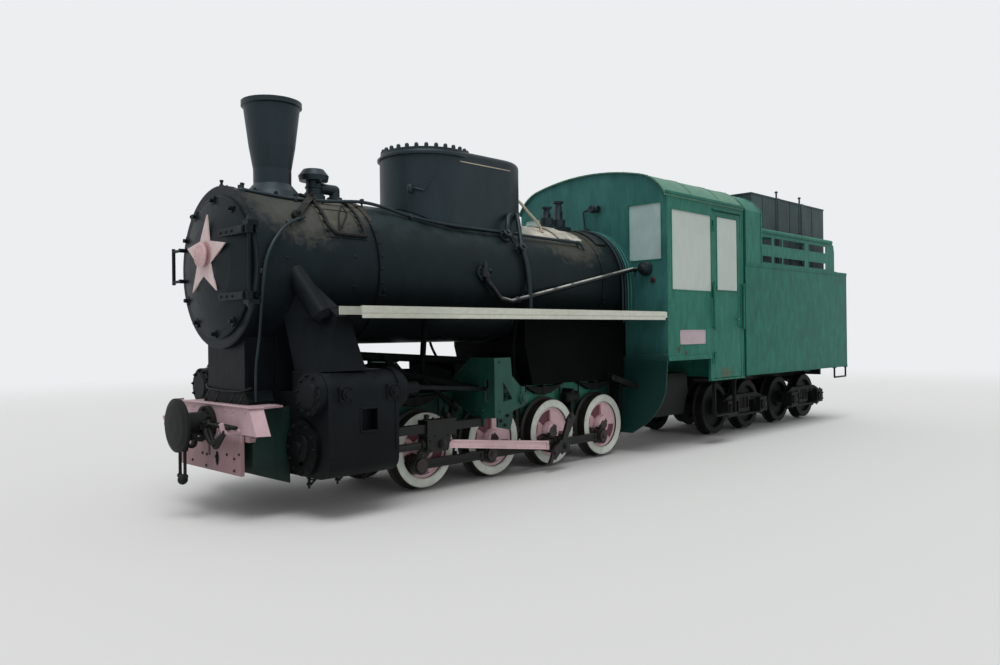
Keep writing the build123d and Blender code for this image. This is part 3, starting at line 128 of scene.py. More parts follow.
class Graph:
    """Short ways to add nodes to one node tree."""

    def __init__(self, tree: bpy.types.NodeTree) -> None:
        """Keeps the tree."""
        self.tree = tree

    @classmethod
    def empty(cls, owner: bpy.types.Material | bpy.types.World) -> "Graph":
        """The cleared node tree of a material or a world."""
        owner.use_nodes = True
        owner.node_tree.nodes.clear()
        return cls(owner.node_tree)

    def link(self, value: bpy.types.NodeSocket, target: bpy.types.NodeSocket) -> None:
        """Joins an output to an input."""
        self.tree.links.new(value, target)

    def close(self, kind: str, value: bpy.types.NodeSocket) -> None:
        """Adds the tree's last node and feeds it."""
        self.link(value, self.add(kind).inputs[0])

    def add(self, kind: str, values: dict | None = None, **settings: object) -> bpy.types.Node:
        """Adds one node.

        Args:
            kind: the node's type.
            values: numbers, colours or other sockets for its inputs, by name or place.
            settings: the node's own options.

        Returns:
            The new node.
        """
        node = self.tree.nodes.new(kind)
        for key, value in settings.items():
            setattr(node, key, value)
        for key, value in (values or {}).items():
            if isinstance(value, bpy.types.NodeSocket):
                self.link(value, node.inputs[key])
            else:
                node.inputs[key].default_value = value
        return node

    def math(self, operation: str, *terms: Value, clamp: bool = False) -> bpy.types.NodeSocket:
        """One sum, product or other operation on numbers.

        Args:
            operation: what is done.
            terms: numbers or sockets.
            clamp: keeps the result between 0 and 1.

        Returns:
            The result's socket.
        """
        node = self.add("ShaderNodeMath", dict(enumerate(terms)), operation=operation)
        node.use_clamp = clamp
        return node.outputs[0]

    def vector(self, operation: str, *terms: Value) -> bpy.types.Node:
        """One operation on vectors, as its node."""
        return self.add("ShaderNodeVectorMath", dict(enumerate(terms)), operation=operation)

    def blend(self, share: Value, first: Value, second: Value) -> bpy.types.NodeSocket:
        """A colour between two colours.

        Args:
            share: how much of the second one shows.
            first: colour or socket.
            second: colour or socket.

        Returns:
            The mixed colour's socket.
        """
        node = self.add("ShaderNodeMix", {0: share, 6: first, 7: second}, data_type="RGBA")
        return node.outputs[2]

    def noise(self, place: Value, scale: Value, detail: float = 4.0,
            warp: float = 0.0) -> bpy.types.NodeSocket:
        """Cloudy values between 0 and 1 at a place."""
        values = {"Vector": place, "Scale": scale, "Detail": detail, "Distortion": warp}
        return self.add("ShaderNodeTexNoise", values).outputs[0]

    def step(self, value: Value, low: Value, high: Value) -> bpy.types.NodeSocket:
        """A smooth rise from 0 at low to 1 at high."""
        names = {"Value": value, "From Min": low, "From Max": high}
        return self.add("ShaderNodeMapRange", names, interpolation_type="SMOOTHSTEP").outputs[0]

    def effect(self, effect: "Effect", values: dict) -> bpy.types.Node:
        """A shared effect's group with its own values."""
        return self.add("ShaderNodeGroup", values, node_tree=Effects.tree(effect))


class Effect(Enum):
    """Surface effects that several finishes share, each one a node group."""

    STROKES = "brush_strokes"
    WEATHER = "weather_marks"
    WEAR = "edge_wear"
    SPOT = "round_region"
    BAND = "straight_region"


class Effects:
    """Builds each shared node group once."""

    made: ClassVar[dict[Effect, bpy.types.NodeTree]] = {}

    @classmethod
    def start(cls, effect: Effect, inputs: dict[str, object], outputs: Iterable[str]) -> tuple:
        """Opens a group with its sockets.

        Args:
            effect: which one.
            inputs: socket names with their plain values.
            outputs: names of the values it gives out.

        Returns:
            The graph, the values that go in and the sockets of those that come out.
        """
        tree = bpy.data.node_groups.new(effect.value, "ShaderNodeTree")
        for name, value in inputs.items():
            kind = "NodeSocketFloat" if isinstance(value, float) else "NodeSocketVector"
            socket = tree.interface.new_socket(name=name, in_out="INPUT", socket_type=kind)
            socket.default_value = value
        for name in outputs:
            tree.interface.new_socket(name=name, in_out="OUTPUT", socket_type="NodeSocketFloat")
        graph = Graph(tree)
        cls.made[effect] = tree
        return graph, graph.add("NodeGroupInput").outputs, graph.add("NodeGroupOutput").inputs

    @classmethod
    def tree(cls, effect: Effect) -> bpy.types.NodeTree:
        """The group of an effect, built at its first use."""
        if effect not in cls.made:
            getattr(cls, effect.value)()
        return cls.made[effect]

    @classmethod
    def brush_strokes(cls) -> None:
        """Long, slightly wavy marks that a wide brush leaves down a panel."""
        names = {"Vector": (0.0, 0.0, 0.0), "Scale": 14.0, "Length": 6.0}
        graph, given, out = cls.start(Effect.STROKES, names, ("Strokes", "Height"))
        squeeze = graph.add("ShaderNodeCombineXYZ",
            {0: 1, 1: 1, 2: graph.math("DIVIDE", 1, given["Length"])})
        place = graph.vector("MULTIPLY", given["Vector"], squeeze.outputs[0]).outputs[0]
        broad = graph.noise(place, given["Scale"], 3, 0.7)
        fine = graph.noise(place, graph.math("MULTIPLY", given["Scale"], 4.3), 5, 0.3)
        both = graph.math("ADD", graph.math("MULTIPLY", broad, 0.68),
            graph.math("MULTIPLY", fine, 0.32))
        graph.link(graph.step(both, 0.36, 0.66), out["Strokes"])
        graph.link(fine, out["Height"])

    @classmethod
    def weather_marks(cls) -> None:
        """Rust spots, run-down streaks, soot clouds, and a mask on upward faces that finishes use
        for dusting and, on the pipe, for a painted highlight.
        """
        names = {"Vector": (0.0, 0.0, 0.0), "Normal": (0.0, 0.0, 1.0), "Spots": 0.2, "Size": 9.0}
        graph, given, out = cls.start(Effect.WEATHER, names, ("Rust", "Runs", "Soot", "Dust_and_highlight"))
        place = given["Vector"]
        coarse = graph.noise(place, given["Size"], 6, 0.4)
        fine = graph.noise(place, graph.math("MULTIPLY", given["Size"], 5.5), 3)
        mix = graph.math("ADD", graph.math("MULTIPLY", coarse, 0.6),
            graph.math("MULTIPLY", fine, 0.4))
        edge = graph.math("SUBTRACT", 0.78, graph.math("MULTIPLY", given["Spots"], 0.3))
        graph.link(graph.step(mix, edge, graph.math("ADD", edge, 0.03)), out["Rust"])
        tall = graph.vector("MULTIPLY", place, (1, 1, 0.06)).outputs[0]
        runs = graph.noise(tall, graph.math("MULTIPLY", given["Size"], 2.4), 4, 0.2)
        graph.link(graph.step(runs, 0.56, 0.74), out["Runs"])
        graph.link(graph.step(graph.noise(place, 1.9, 5, 0.8), 0.4, 0.72), out["Soot"])
        up = graph.add("ShaderNodeSeparateXYZ", {0: given["Normal"]}).outputs[2]
        cloud = graph.noise(place, 6.5, 5, 0.5)
        dust_and_highlight = graph.math("MULTIPLY", graph.step(up, 0.25, 0.95), graph.step(cloud, 0.3, 0.68))
        graph.link(dust_and_highlight, out["Dust_and_highlight"])

    @classmethod
    def edge_wear(cls) -> None:
        """Rubbed edges, broken up by a fine cloud."""
        names = {"Vector": (0.0, 0.0, 0.0), "Radius": 0.006}
        graph, given, out = cls.start(Effect.WEAR, names, ("Wear",))
        soft = graph.add("ShaderNodeBevel", {"Radius": given["Radius"]}, samples=4)
        sharp = graph.add("ShaderNodeNewGeometry")
        turn = graph.vector("DOT_PRODUCT", soft.outputs[0], sharp.outputs["Normal"])
        cloud = graph.noise(given["Vector"], 26, 5, 0.4)
        bent = graph.math("SUBTRACT", 1, turn.outputs["Value"], clamp=True)
        rubbed = graph.math("MULTIPLY", bent, 5)
        graph.link(graph.step(graph.math("MULTIPLY", rubbed, cloud), 0.28, 0.62), out["Wear"])

    @classmethod
    def round_region(cls) -> None:
        """Inside of a ball, or of a cylinder where one weight is 0, repeated along X if wanted."""
        names = {"Vector": (0.0, 0.0, 0.0), "Centre": (0.0, 0.0, 0.0), "Weights": (1.0, 1.0, 1.0),
            "Radius": 0.1, "Softness": 0.02, "Ragged": 0.0, "Pitch": 1000.0, "Side": 0.0}
        graph, given, out = cls.start(Effect.SPOT, names, ("Mask",))
        offset = graph.vector("SUBTRACT", given["Vector"], given["Centre"]).outputs[0]
        parts = graph.add("ShaderNodeSeparateXYZ", {0: offset})
        half = graph.math("MULTIPLY", given["Pitch"], 0.5)
        wrapped = graph.math("FLOORED_MODULO", graph.math("ADD", parts.outputs[0], half),
            given["Pitch"])
        x = graph.math("SUBTRACT", wrapped, half)
        joined = graph.add("ShaderNodeCombineXYZ",
            {0: x, 1: parts.outputs[1], 2: parts.outputs[2]}).outputs[0]
        weighed = graph.vector("MULTIPLY", joined, given["Weights"]).outputs[0]
        reach = graph.vector("LENGTH", weighed).outputs["Value"]
        cloud = graph.math("SUBTRACT", graph.noise(given["Vector"], 17, 5, 0.6), 0.5)
        torn = graph.math("ADD", reach, graph.math("MULTIPLY", cloud, given["Ragged"]))
        end = graph.math("ADD", given["Radius"], given["Softness"])
        inside = graph.math("SUBTRACT", 1, graph.step(torn, given["Radius"], end))
        across = graph.add("ShaderNodeSeparateXYZ", {0: given["Vector"]}).outputs[1]
        chosen = graph.math("GREATER_THAN", graph.math("MULTIPLY", across, given["Side"]), -0.001)
        graph.link(graph.math("MULTIPLY", inside, chosen), out["Mask"])

    @classmethod
    def straight_region(cls) -> None:
        """Slice between two heights along an axis."""
        names = {"Vector": (0.0, 0.0, 0.0), "Axis": (0.0, 0.0, 1.0), "Low": 0.0, "High": 1.0,
            "Softness": 0.002, "Ragged": 0.0}
        graph, given, out = cls.start(Effect.BAND, names, ("Mask",))
        along = graph.vector("DOT_PRODUCT", given["Vector"], given["Axis"]).outputs["Value"]
        cloud = graph.math("SUBTRACT", graph.noise(given["Vector"], 22, 4, 0.3), 0.5)
        torn = graph.math("ADD", along, graph.math("MULTIPLY", cloud, given["Ragged"]))
        above = graph.step(torn, given["Low"], graph.math("ADD", given["Low"], given["Softness"]))
        below = graph.step(torn, graph.math("SUBTRACT", given["High"], given["Softness"]),
            given["High"])
        graph.link(graph.math("SUBTRACT", above, below, clamp=True), out["Mask"])


@dataclass(frozen=True)
class Ball:
    """Region round a centre: a ball, or a cylinder along the axis whose weight is 0."""

    centre: Point
    radius: float
    weights: Point = (1.0, 1.0, 1.0)
    softness: float = 0.02
    ragged: float = 0.0
    pitch: float = 1000.0
    side: float = 0.0

    def mask(self, graph: Graph, spot: Spot) -> bpy.types.NodeSocket:
        """The region's mask at a place."""
        values = {"Vector": spot["Object"], "Centre": self.centre, "Weights": self.weights,
            "Radius": self.radius, "Softness": self.softness, "Ragged": self.ragged,
            "Pitch": self.pitch, "Side": self.side}
        return graph.effect(Effect.SPOT, values).outputs[0]


@dataclass(frozen=True)
class Slice:
    """Region between two heights along an axis."""

    axis: Point
    low: float
    high: float
    softness: float = 0.002
    ragged: float = 0.0

    def mask(self, graph: Graph, spot: Spot) -> bpy.types.NodeSocket:
        """The region's mask at a place."""
        values = {"Vector": spot["Object"], "Axis": self.axis, "Low": self.low, "High": self.high,
            "Softness": self.softness, "Ragged": self.ragged}
        return graph.effect(Effect.BAND, values).outputs[0]


@dataclass(frozen=True)
class Facing:
    """Region whose surface looks along a direction, either way if so wanted."""

    direction: Point
    least: float = 0.5
    both_ways: bool = False

    def mask(self, graph: Graph, spot: Spot) -> bpy.types.NodeSocket:
        """The region's mask for a normal."""
        turn = graph.vector("DOT_PRODUCT", spot["Normal"], self.direction).outputs["Value"]
        if self.both_ways:
            turn = graph.math("ABSOLUTE", turn)
        return graph.step(turn, self.least, self.least + 0.08)


Region = Ball | Slice | Facing


@dataclass(frozen=True)
class Patch:
    """Paint of another colour over the regions that all hold."""

    regions: tuple[Region, ...]
    colour: Colour
    share: float = 1.0
    rough: float | None = None


@dataclass(frozen=True)
class Finish:
    """A painted or bare surface with its wear.

    The record's slot names the plain finish that it stands for.
    """

    name: str
    slot: str
    colour: Colour
    streak: Colour
    strokes: float = 0.5
    stroke_size: float = 14.0
    stroke_length: float = 6.0
    rust: float = 0.0
    rust_colour: Colour = (92, 52, 34)
    runs: float = 0.0
    soot: float = 0.3
    soot_colour: Colour = (20, 22, 22)
    # Dusting on upward faces; on the pipe finish its pale colour is a painted highlight.
    dust_and_highlight: float = 0.2
    dust_and_highlight_colour: Colour = (128, 120, 104)
    wear: float = 0.3
    wear_colour: Colour = (96, 74, 58)
    rough: float = 0.5
    metallic: float = 0.0
    gloss: float = 0.3
    tint: Colour = (255, 255, 255)
    bump: float = 0.0015
    patches: tuple[Patch, ...] = ()

    made: ClassVar[dict[str, bpy.types.Material]] = {}
    stroke_depth: ClassVar[float] = 0.35
    stroke_gloss: ClassVar[float] = 0.16
    patch_streak: ClassVar[float] = 0.84
    soot_relief: ClassVar[float] = 0.4
    rust_rough: ClassVar[float] = 0.3

    def material(self) -> bpy.types.Material:
        """The finish as a material, built once.

        Returns:
            The material.
        """
        if self.name not in Finish.made:
            Finish.made[self.name] = self.build()
        return Finish.made[self.name]

    def build(self) -> bpy.types.Material:
        """Wires the finish's nodes.

        Returns:
            The new material.
        """
        material = bpy.data.materials.new(self.name)
        graph = Graph.empty(material)
        spot = graph.add("ShaderNodeTexCoord").outputs
        place = spot["Object"]
        strokes = graph.effect(Effect.STROKES, {"Vector": place, "Scale": self.stroke_size,
            "Length": self.stroke_length})
        marks = graph.effect(Effect.WEATHER, {"Vector": place, "Normal": spot["Normal"],
            "Spots": self.rust})
        share = graph.math("MULTIPLY", strokes.outputs["Strokes"], self.strokes)
        colour = graph.blend(share, linear(self.colour), linear(self.streak))
        rough = graph.math("ADD", graph.math("MULTIPLY", strokes.outputs["Height"],
            self.stroke_gloss), self.rough - self.stroke_gloss / 2)
        for patch in self.patches:
            covered = patch.share
            for region in patch.regions:
                covered = graph.math("MULTIPLY", covered, region.mask(graph, spot))
            toned = graph.blend(share, linear(patch.colour),
                linear(tuple(channel * self.patch_streak for channel in patch.colour)))
            colour = graph.blend(covered, colour, toned)
            if patch.rough is not None:
                change = graph.math("MULTIPLY", covered, patch.rough - self.rough)
                rough = graph.math("ADD", rough, change)
        for output, amount, tone in (("Soot", self.soot, self.soot_colour),
                ("Runs", self.runs, self.soot_colour), ("Dust_and_highlight", self.dust_and_highlight, self.dust_and_highlight_colour),
                ("Rust", 1 if self.rust else 0, self.rust_colour)):
            if amount:
                colour = graph.blend(graph.math("MULTIPLY", marks.outputs[output], amount), colour,
                    linear(tone))
        if self.wear:
            rubbed = graph.effect(Effect.WEAR, {"Vector": place}).outputs[0]
            colour = graph.blend(graph.math("MULTIPLY", rubbed, self.wear), colour,
                linear(self.wear_colour))
        if self.rust:
            rough = graph.math("ADD", rough, graph.math("MULTIPLY", marks.outputs["Rust"],
                self.rust_rough), clamp=True)
        height = graph.math("ADD", strokes.outputs["Height"],
            graph.math("MULTIPLY", marks.outputs["Soot"], self.soot_relief))
        relief = graph.add("ShaderNodeBump", {"Strength": self.stroke_depth, "Distance": self.bump,
            "Height": height})
        shader = graph.add("ShaderNodeBsdfPrincipled", {"Base Color": colour, "Roughness": rough,
            "Metallic": self.metallic, "Specular IOR Level": self.gloss,
            "Specular Tint": linear(self.tint), "Normal": relief.outputs[0]})
        graph.close("ShaderNodeOutputMaterial", shader.outputs[0])
        return material

    def dress(self, *nodes: str) -> None:
        """Gives CAD nodes this finish.

        Args:
            nodes: the nodes' names.
        """
        for name in nodes:
            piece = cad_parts[name]
            if not piece.material_slots:
                piece.data.materials.append(None)
            for holder in piece.material_slots:
                holder.material = self.material()


def hub_grease(colour: Colour) -> tuple[Patch, ...]:
    """Black grease round the axle ends and the crank pins of the coupled wheels.

    Args:
        colour: the grease.

    Returns:
        A patch at the hubs and one at each side's pins.
    """
    flat = (1, 0, 1)
    first = AXLES[0]
    spots = [Ball((first, 0, AXLE_Z), 0.052, flat, 0.012, 0.09, AXLE_PITCH)]
    for side, (dx, dz) in CRANK_PINS.items():
        pin = (first + dx, 0, AXLE_Z + dz)
        spots.append(Ball(pin, 0.076, flat, 0.014, 0.08, AXLE_PITCH, side))
    return tuple(Patch((region,), colour, 0.96, 0.38) for region in spots)


SOOTY: Colour = (17, 19, 19)
SOFT_WHITE: Colour = (196, 199, 188)
WHITE_EDGE = Patch((Slice(Y, 0.9795, 0.999), Slice(Z, 1.38, 1.4502)), SOFT_WHITE, 1, 0.6)
WHITE_EDGE_RIGHT = Patch((Slice(Y, -0.999, -0.9795), Slice(Z, 1.38, 1.4502)), SOFT_WHITE, 1, 0.6)
# Painted shade: the recessed web of each driving wheel's centre is a darker pink.
RECESS_SHADE = Patch((Ball((AXLES[0], 0, AXLE_Z), 0.203, (1, 0, 1), 0.003, 0, AXLE_PITCH),
    Slice(Y, -0.43, 0.43, 0.001)), (204, 166, 172), 0.85)


class Paint:
    """Every finish on the engine and its tender."""

    BLACK = Finish("black_paint_sheet", "black_paint", (15, 22, 26), (26, 36, 41), 0.55, 7, 2, 0.06,
        soot=0.3, dust_and_highlight=0.4, dust_and_highlight_colour=(56, 62, 63), wear=0.2, wear_colour=(70, 72, 70),
        rough=0.47, gloss=0.42, tint=(212, 241, 255))
    CYLINDER = Finish("black_paint_cylinder", "black_paint", (11, 14, 16), (20, 25, 27), 0.55, 7, 2,
        0.1, soot=0.4, dust_and_highlight=0.3, dust_and_highlight_colour=(48, 54, 56), wear=0.25, wear_colour=(66, 62, 56),
        rough=0.5, gloss=0.12, tint=(225, 240, 248),
        patches=(Patch((Slice(Z, -0.1, 0.76, 0.25, 0.1),), (7, 8, 8), 0.9),))
    SMOKEBOX = Finish("black_paint_smokebox", "black_paint", (13, 17, 19), (22, 29, 32), 0.55, 8, 2,
        0.08, soot=0.3, dust_and_highlight=0.4, dust_and_highlight_colour=(58, 63, 61), wear=0.25, wear_colour=(70, 70, 66),
        rough=0.48, gloss=0.17, tint=(200, 238, 255),
        patches=(Patch((Ball((3.99, 0.33, 2.23), 0.2, (0.9, 0.6, 1), 0.22, 0.3),), (84, 82, 74),
        0.7, 0.66), Patch((Ball((3.64, 0.25, 2.27), 0.16, (0.9, 0.6, 1), 0.18, 0.26),),
        (96, 92, 82), 0.75, 0.66), Patch((Ball((3.9, -0.33, 2.23), 0.22, (1, 0.7, 0.9), 0.2, 0.3),),
        (78, 76, 70), 0.6, 0.66)))
    BOILER = Finish("black_paint_lagging", "black_paint", (13, 18, 20), (22, 30, 32), 0.5, 6, 1.6,
        0.05, soot=0.3, dust_and_highlight=0.6, dust_and_highlight_colour=(46, 60, 61), wear=0.15, wear_colour=(66, 68, 64),
        rough=0.44, gloss=0.17, tint=(200, 244, 255), bump=0.0022,
        patches=(Patch((Ball((0.96, 0.3, 2.25), 0.22, (0.7, 0.6, 1), 0.2, 0.3),), (88, 84, 74),
        0.65, 0.64), Patch((Ball((1.45, 0.25, 2.27), 0.15, (0.8, 0.7, 1), 0.18, 0.3),),
        (76, 75, 69), 0.5, 0.64),
        # Partly a painted reflection and partly pale bare metal: the pale band on the boiler's
        # upper side.
        Patch((Slice(X, 0.72, 1.79, 0.03, 0.1), Slice(Z, 2.16, 2.33, 0.012, 0.03)), (206, 201, 188),
        0.9, 0.4)))
    # Painted highlight: the pale colour on this pipe's upward faces, given as its dusting, stands
    # for light along its top.
    PIPE = Finish("black_paint_pipe", "black_paint", (17, 21, 23), (28, 33, 35), 0.55, 12, 1, 0.1,
        soot=0.2, dust_and_highlight=1, dust_and_highlight_colour=(196, 198, 190), wear=0.4, wear_colour=(84, 82, 76),
        rough=0.42, gloss=0.3)
    # Soot black; in the beam's slot and between the frame and the boiler it is painted shade.
    SOOT_AND_SHADE = Finish("sooted_sheet_and_painted_shade", "black_paint", (7, 9, 9), (13, 15, 15), 0.5, 7, 1.6, 0.12,
        (30, 24, 21), 0.1, 0.3, dust_and_highlight=0.1, dust_and_highlight_colour=(40, 40, 36), wear=0.15,
        wear_colour=(46, 44, 40), rough=0.66, gloss=0.04)
    IRON = Finish("black_iron", "dark_iron", (15, 17, 17), (25, 26, 25), 0.5, 11, 1.5, 0.2,
        (46, 35, 28), 0.2, 0.4, dust_and_highlight=0.24, dust_and_highlight_colour=(58, 55, 48), wear=0.3,
        wear_colour=(58, 52, 45), rough=0.62, gloss=0.2)
    GREASY = Finish("greasy_steel", "bare_steel", (15, 16, 16), (29, 29, 28), 0.5, 17, 1.4, 0.1,
        (44, 33, 27), soot=0.4, dust_and_highlight=0.12, wear=0.5, wear_colour=(78, 75, 69), rough=0.42,
        metallic=0.2)
    GREEN = Finish("green_paint_brushed", "green_paint", (28, 90, 76), (49, 121, 102), 0.55, 15,
        3.6, 0.13, (50, 40, 34), 0.1, 0.2, (18, 56, 48), 0.12, (92, 122, 104), 0.4, (58, 50, 42),
        0.5, tint=(150, 250, 225),
        patches=(Patch((Ball((-0.05, 0, 1.072), 0.022, (1, 0, 1), 0.012, 0.12),), (66, 40, 32),
        0.9), Patch((Ball((-0.18, 0, 1.036), 0.014, (1, 0, 1), 0.01, 0.1),), (66, 40, 32), 0.9),
        Patch((Ball((-1, 0, 0.8), 0.06, (0.6, 0, 1.4), 0.03, 0.2),), (84, 80, 58), 0.7),
        # Painted shadows: dark upright strips on the cab sides behind the two grab rails.
        Patch((Slice(X, -0.8, -0.738, 0.006), Slice(Z, 1.25, 1.81, 0.02)), (17, 44, 38), 0.7),
        Patch((Slice(X, -1.452, -1.388, 0.006), Slice(Z, 1.25, 1.81, 0.02)), (17, 44, 38), 0.7)))
    TENDER = Finish("green_paint_tender", "green_paint", (10, 80, 67), (24, 111, 94), 0.6, 13, 2.6,
        0.12, (40, 36, 33), 0.14, 0.2, (16, 54, 47), 0.12, (92, 122, 104), 0.4, (58, 50, 42), 0.48,
        tint=(150, 250, 225), bump=0.004, patches=(Patch((Slice(Z, 0.4, 0.73, 0.001),), SOOTY),))
    FRONT_WALL = Finish("green_paint_front_wall", "green_paint", (46, 96, 93), (64, 119, 115), 0.5,
        9, 4, 0.12, (40, 37, 34), 0.14, 0.3, (18, 54, 51), 0.1, (90, 112, 104), 0.35, (54, 48, 40),
        0.52, tint=(180, 248, 245),
        # Painted shade: the front wall and the apron turn darker below the running boards.
        patches=(Patch((Slice(Z, -0.1, 1.25, 0.4),), (16, 40, 37), 0.88),))
    FRAME = Finish("green_paint_frame", "green_paint", (20, 62, 53), (31, 80, 68), 0.5, 10, 2, 0.16,
        (42, 34, 28), 0.1, 0.4, (12, 32, 28), 0.2, (60, 66, 56), 0.4, (50, 43, 36), 0.54,
        patches=(Patch((Slice(Z, -0.1, 0.44, 0.1, 0.1),), (15, 18, 17), 0.9, 0.6),
        # Painted shade on the frame's front plates.
        Patch((Slice(X, 4.05, 4.6, 0.02),), (11, 33, 29), 0.8),
        # Painted highlight: a lighter green band on the frame plate between the two rear wheels.
        Patch((Slice(X, 0.42, 1.56, 0.05), Slice(Z, 0.56, 0.9, 0.05)), (66, 146, 124), 0.8),
        Patch((Slice(X, -2, 0.3, 0.06, 0.06),), (12, 15, 14), 0.94)))
    ROOF = Finish("green_paint_roof", "green_paint", (62, 114, 98), (118, 162, 140), 0.6, 56, 1,
        0.16, (70, 68, 54), 0.1, 0.25, (50, 86, 70), 0.3, (120, 142, 118), 0.4, (60, 74, 58), 0.6,
        bump=0.005)
    PINK = Finish("red_oxide_faded", "pink_paint", (182, 156, 163), (164, 135, 143), 0.5, 9, 2.4,
        0.2, (104, 66, 56), 0.16, 0.12, (146, 108, 110), 0.2, (188, 180, 170), 0.6, (112, 72, 60),
        # Painted shade: the lower plate of the front beam is darker.
        0.56, patches=(Patch((Slice(Z, -0.1, 0.59, 0.06),), (132, 101, 104), 0.85),))
    WHEEL = Finish("wheel_paint", "pink_paint", (216, 184, 189), (198, 160, 167), 0.5, 14, 1.2,
        0.12, (92, 60, 56), 0.1, 0.14, (104, 74, 76), 0.12, wear=0.25, wear_colour=(104, 68, 64),
        rough=0.54, patches=(RECESS_SHADE, *hub_grease(SOOTY)))
    ROD = Finish("rod_paint", "pink_paint", (216, 187, 190), (200, 166, 171), 0.5, 12, 1, 0.12,
        (98, 62, 56), 0.1, 0.1, (118, 84, 86), 0.15, wear=0.4, wear_colour=(100, 62, 55), rough=0.5,
        patches=(Patch((Ball((1.45, 0, 0.223), 0.15, (1, 0, 1), 0.03, 0.09, side=1),), SOOTY, 1,
        0.4), Patch((Ball((2.917, 0, 0.395), 0.1, (1, 0, 1), 0.03, 0.09, side=1),), SOOTY, 1, 0.4),
        Patch((Ball((1.238, 0, 0.215), 0.15, (1, 0, 1), 0.03, 0.09, side=-1),), SOOTY, 1, 0.4),
        Patch((Ball((2.704, 0, 0.395), 0.1, (1, 0, 1), 0.03, 0.09, side=-1),), SOOTY, 1, 0.4),
        Patch((Slice(Y, 0.68, 0.76, 0.001),), SOOTY, 1, 0.42),
        Patch((Slice(Y, -0.76, -0.68, 0.001),), SOOTY, 1, 0.42)))
    RIM = Finish("tyre_paint", "white_paint", (30, 30, 29), (50, 47, 43), 0.5, 16, 1, 0.1,
        (84, 54, 40), soot=0.2, dust_and_highlight=0.1, wear=0.35, wear_colour=(104, 82, 62), rough=0.5,
        patches=(Patch((Facing(Y, 0.3, True), Slice(Y, 0.455, 0.48)), (218, 224, 214), 1, 0.62),
        Patch((Facing(Y, 0.3, True), Slice(Y, -0.48, -0.455)), (218, 224, 214), 1, 0.62)))
    BOARD = Finish("board_paint_white", "board_paint", (180, 190, 184), (168, 178, 172), 0.4, 5,
        1.6, 0.17, (104, 100, 90), 0.1, 0.1, (134, 142, 136), 0.1, wear=0.5,
        # Painted shade: boards that face forward take a cooler, bluer colour.
        wear_colour=(126, 122, 110), rough=0.66, patches=(Patch((Facing(X, 0.5),), (166, 190, 190)),
        ))
    RUNNING = Finish("running_board_paint", "black_paint", (23, 27, 28), (34, 39, 40), 0.5, 9, 2,
        0.16, soot=0.4, dust_and_highlight=0.4, dust_and_highlight_colour=(72, 74, 68), wear=0.3, rough=0.56, gloss=0.22,
        patches=(WHITE_EDGE, WHITE_EDGE_RIGHT,
        Patch((Slice(X, 3.88, 4.06), Facing(Y, 0.5, True), Slice(Z, 1.38, 1.4502)), (150, 152, 142),
        0.8)))
    EDGE = Finish("edge_paint_worn", "white_paint", (196, 199, 188), (176, 177, 164), 0.5, 12, 0.4,
        0.2, (112, 84, 62), 0.1, 0.1, (120, 108, 90), 0.1, wear=0.6, wear_colour=(110, 90, 70),
        rough=0.6, patches=(Patch((Slice(Z, 1.398, 1.406, 0.003, 0.006),), (118, 100, 84), 0.6),
        Patch((Slice(X, 2.9, 4, 0.4),), (164, 166, 154), 0.4)))
    LILAC = Finish("blank_plate_paint", "pink_paint", (176, 162, 168), (160, 144, 151), 0.5, 9, 1,
        0.14, (120, 84, 84), 0.1, 0.1, (140, 112, 118), 0.1, wear=0.3, wear_colour=(120, 90, 90),
        rough=0.6)
    BUNKER = Finish("bunker_paint", "dark_iron", (48, 64, 66), (68, 87, 89), 0.5, 8, 3, 0.2,
        (74, 56, 46), 0.4, 0.3, (30, 34, 34), 0.3, (104, 102, 92), 0.4, (84, 66, 52), 0.64)
    STAR = Finish("star_paint", "pink_paint", (206, 188, 187), (188, 160, 163), 0.5, 15, 1, 0.16,
        (150, 104, 100), 0, 0.05, wear=0.5, wear_colour=(130, 88, 84), rough=0.6,
        patches=(Patch((Ball((4.53, 0, 1.834), 0.089, (0, 1, 1), 0.004),), (198, 162, 166), 0.9),))
    WOOD = Finish("seat_wood", "board_paint", (96, 76, 54), (74, 55, 38), 0.8, 26, 0.12, 0,
        soot=0.3, rough=0.6)
    BRASS = Finish("dull_brass", "bare_steel", (146, 120, 66), (112, 92, 52), 0.5, 20, 1, 0,
        soot=0.3, rough=0.36, metallic=0.85, gloss=0.5)
    DIAL = Finish("dial_enamel", "white_paint", (214, 214, 204), (200, 200, 190), 0.3, 10, 1, 0,
        soot=0.1, rough=0.3)
    # Cream paint, and on the dome's sides a painted highlight along the lap's edge.
    CREAM = Finish("cream_paint_and_highlight", "white_paint", (186, 178, 156), (160, 150, 128), 0.5, 12, 1, 0.16,
        rough=0.5)
    # Painted shade: dark plum for the thin wedges on the wheel centres.
    PLUM_SHADE = Finish("plum_painted_shade", "pink_paint", (112, 66, 78), (92, 52, 62), 0.5, 14, 1, 0.1,
        rough=0.6)
    MAROON = Finish("maroon_paint", "pink_paint", (70, 32, 36), (52, 25, 29), 0.5, 14, 1, 0.1,
        rough=0.5)


def placed_object(name: str, data: bpy.types.ID) -> bpy.types.Object:
    """A new object in the scene."""
    made = bpy.data.objects.new(name, data)
    bpy.context.scene.collection.objects.link(made)
    return made


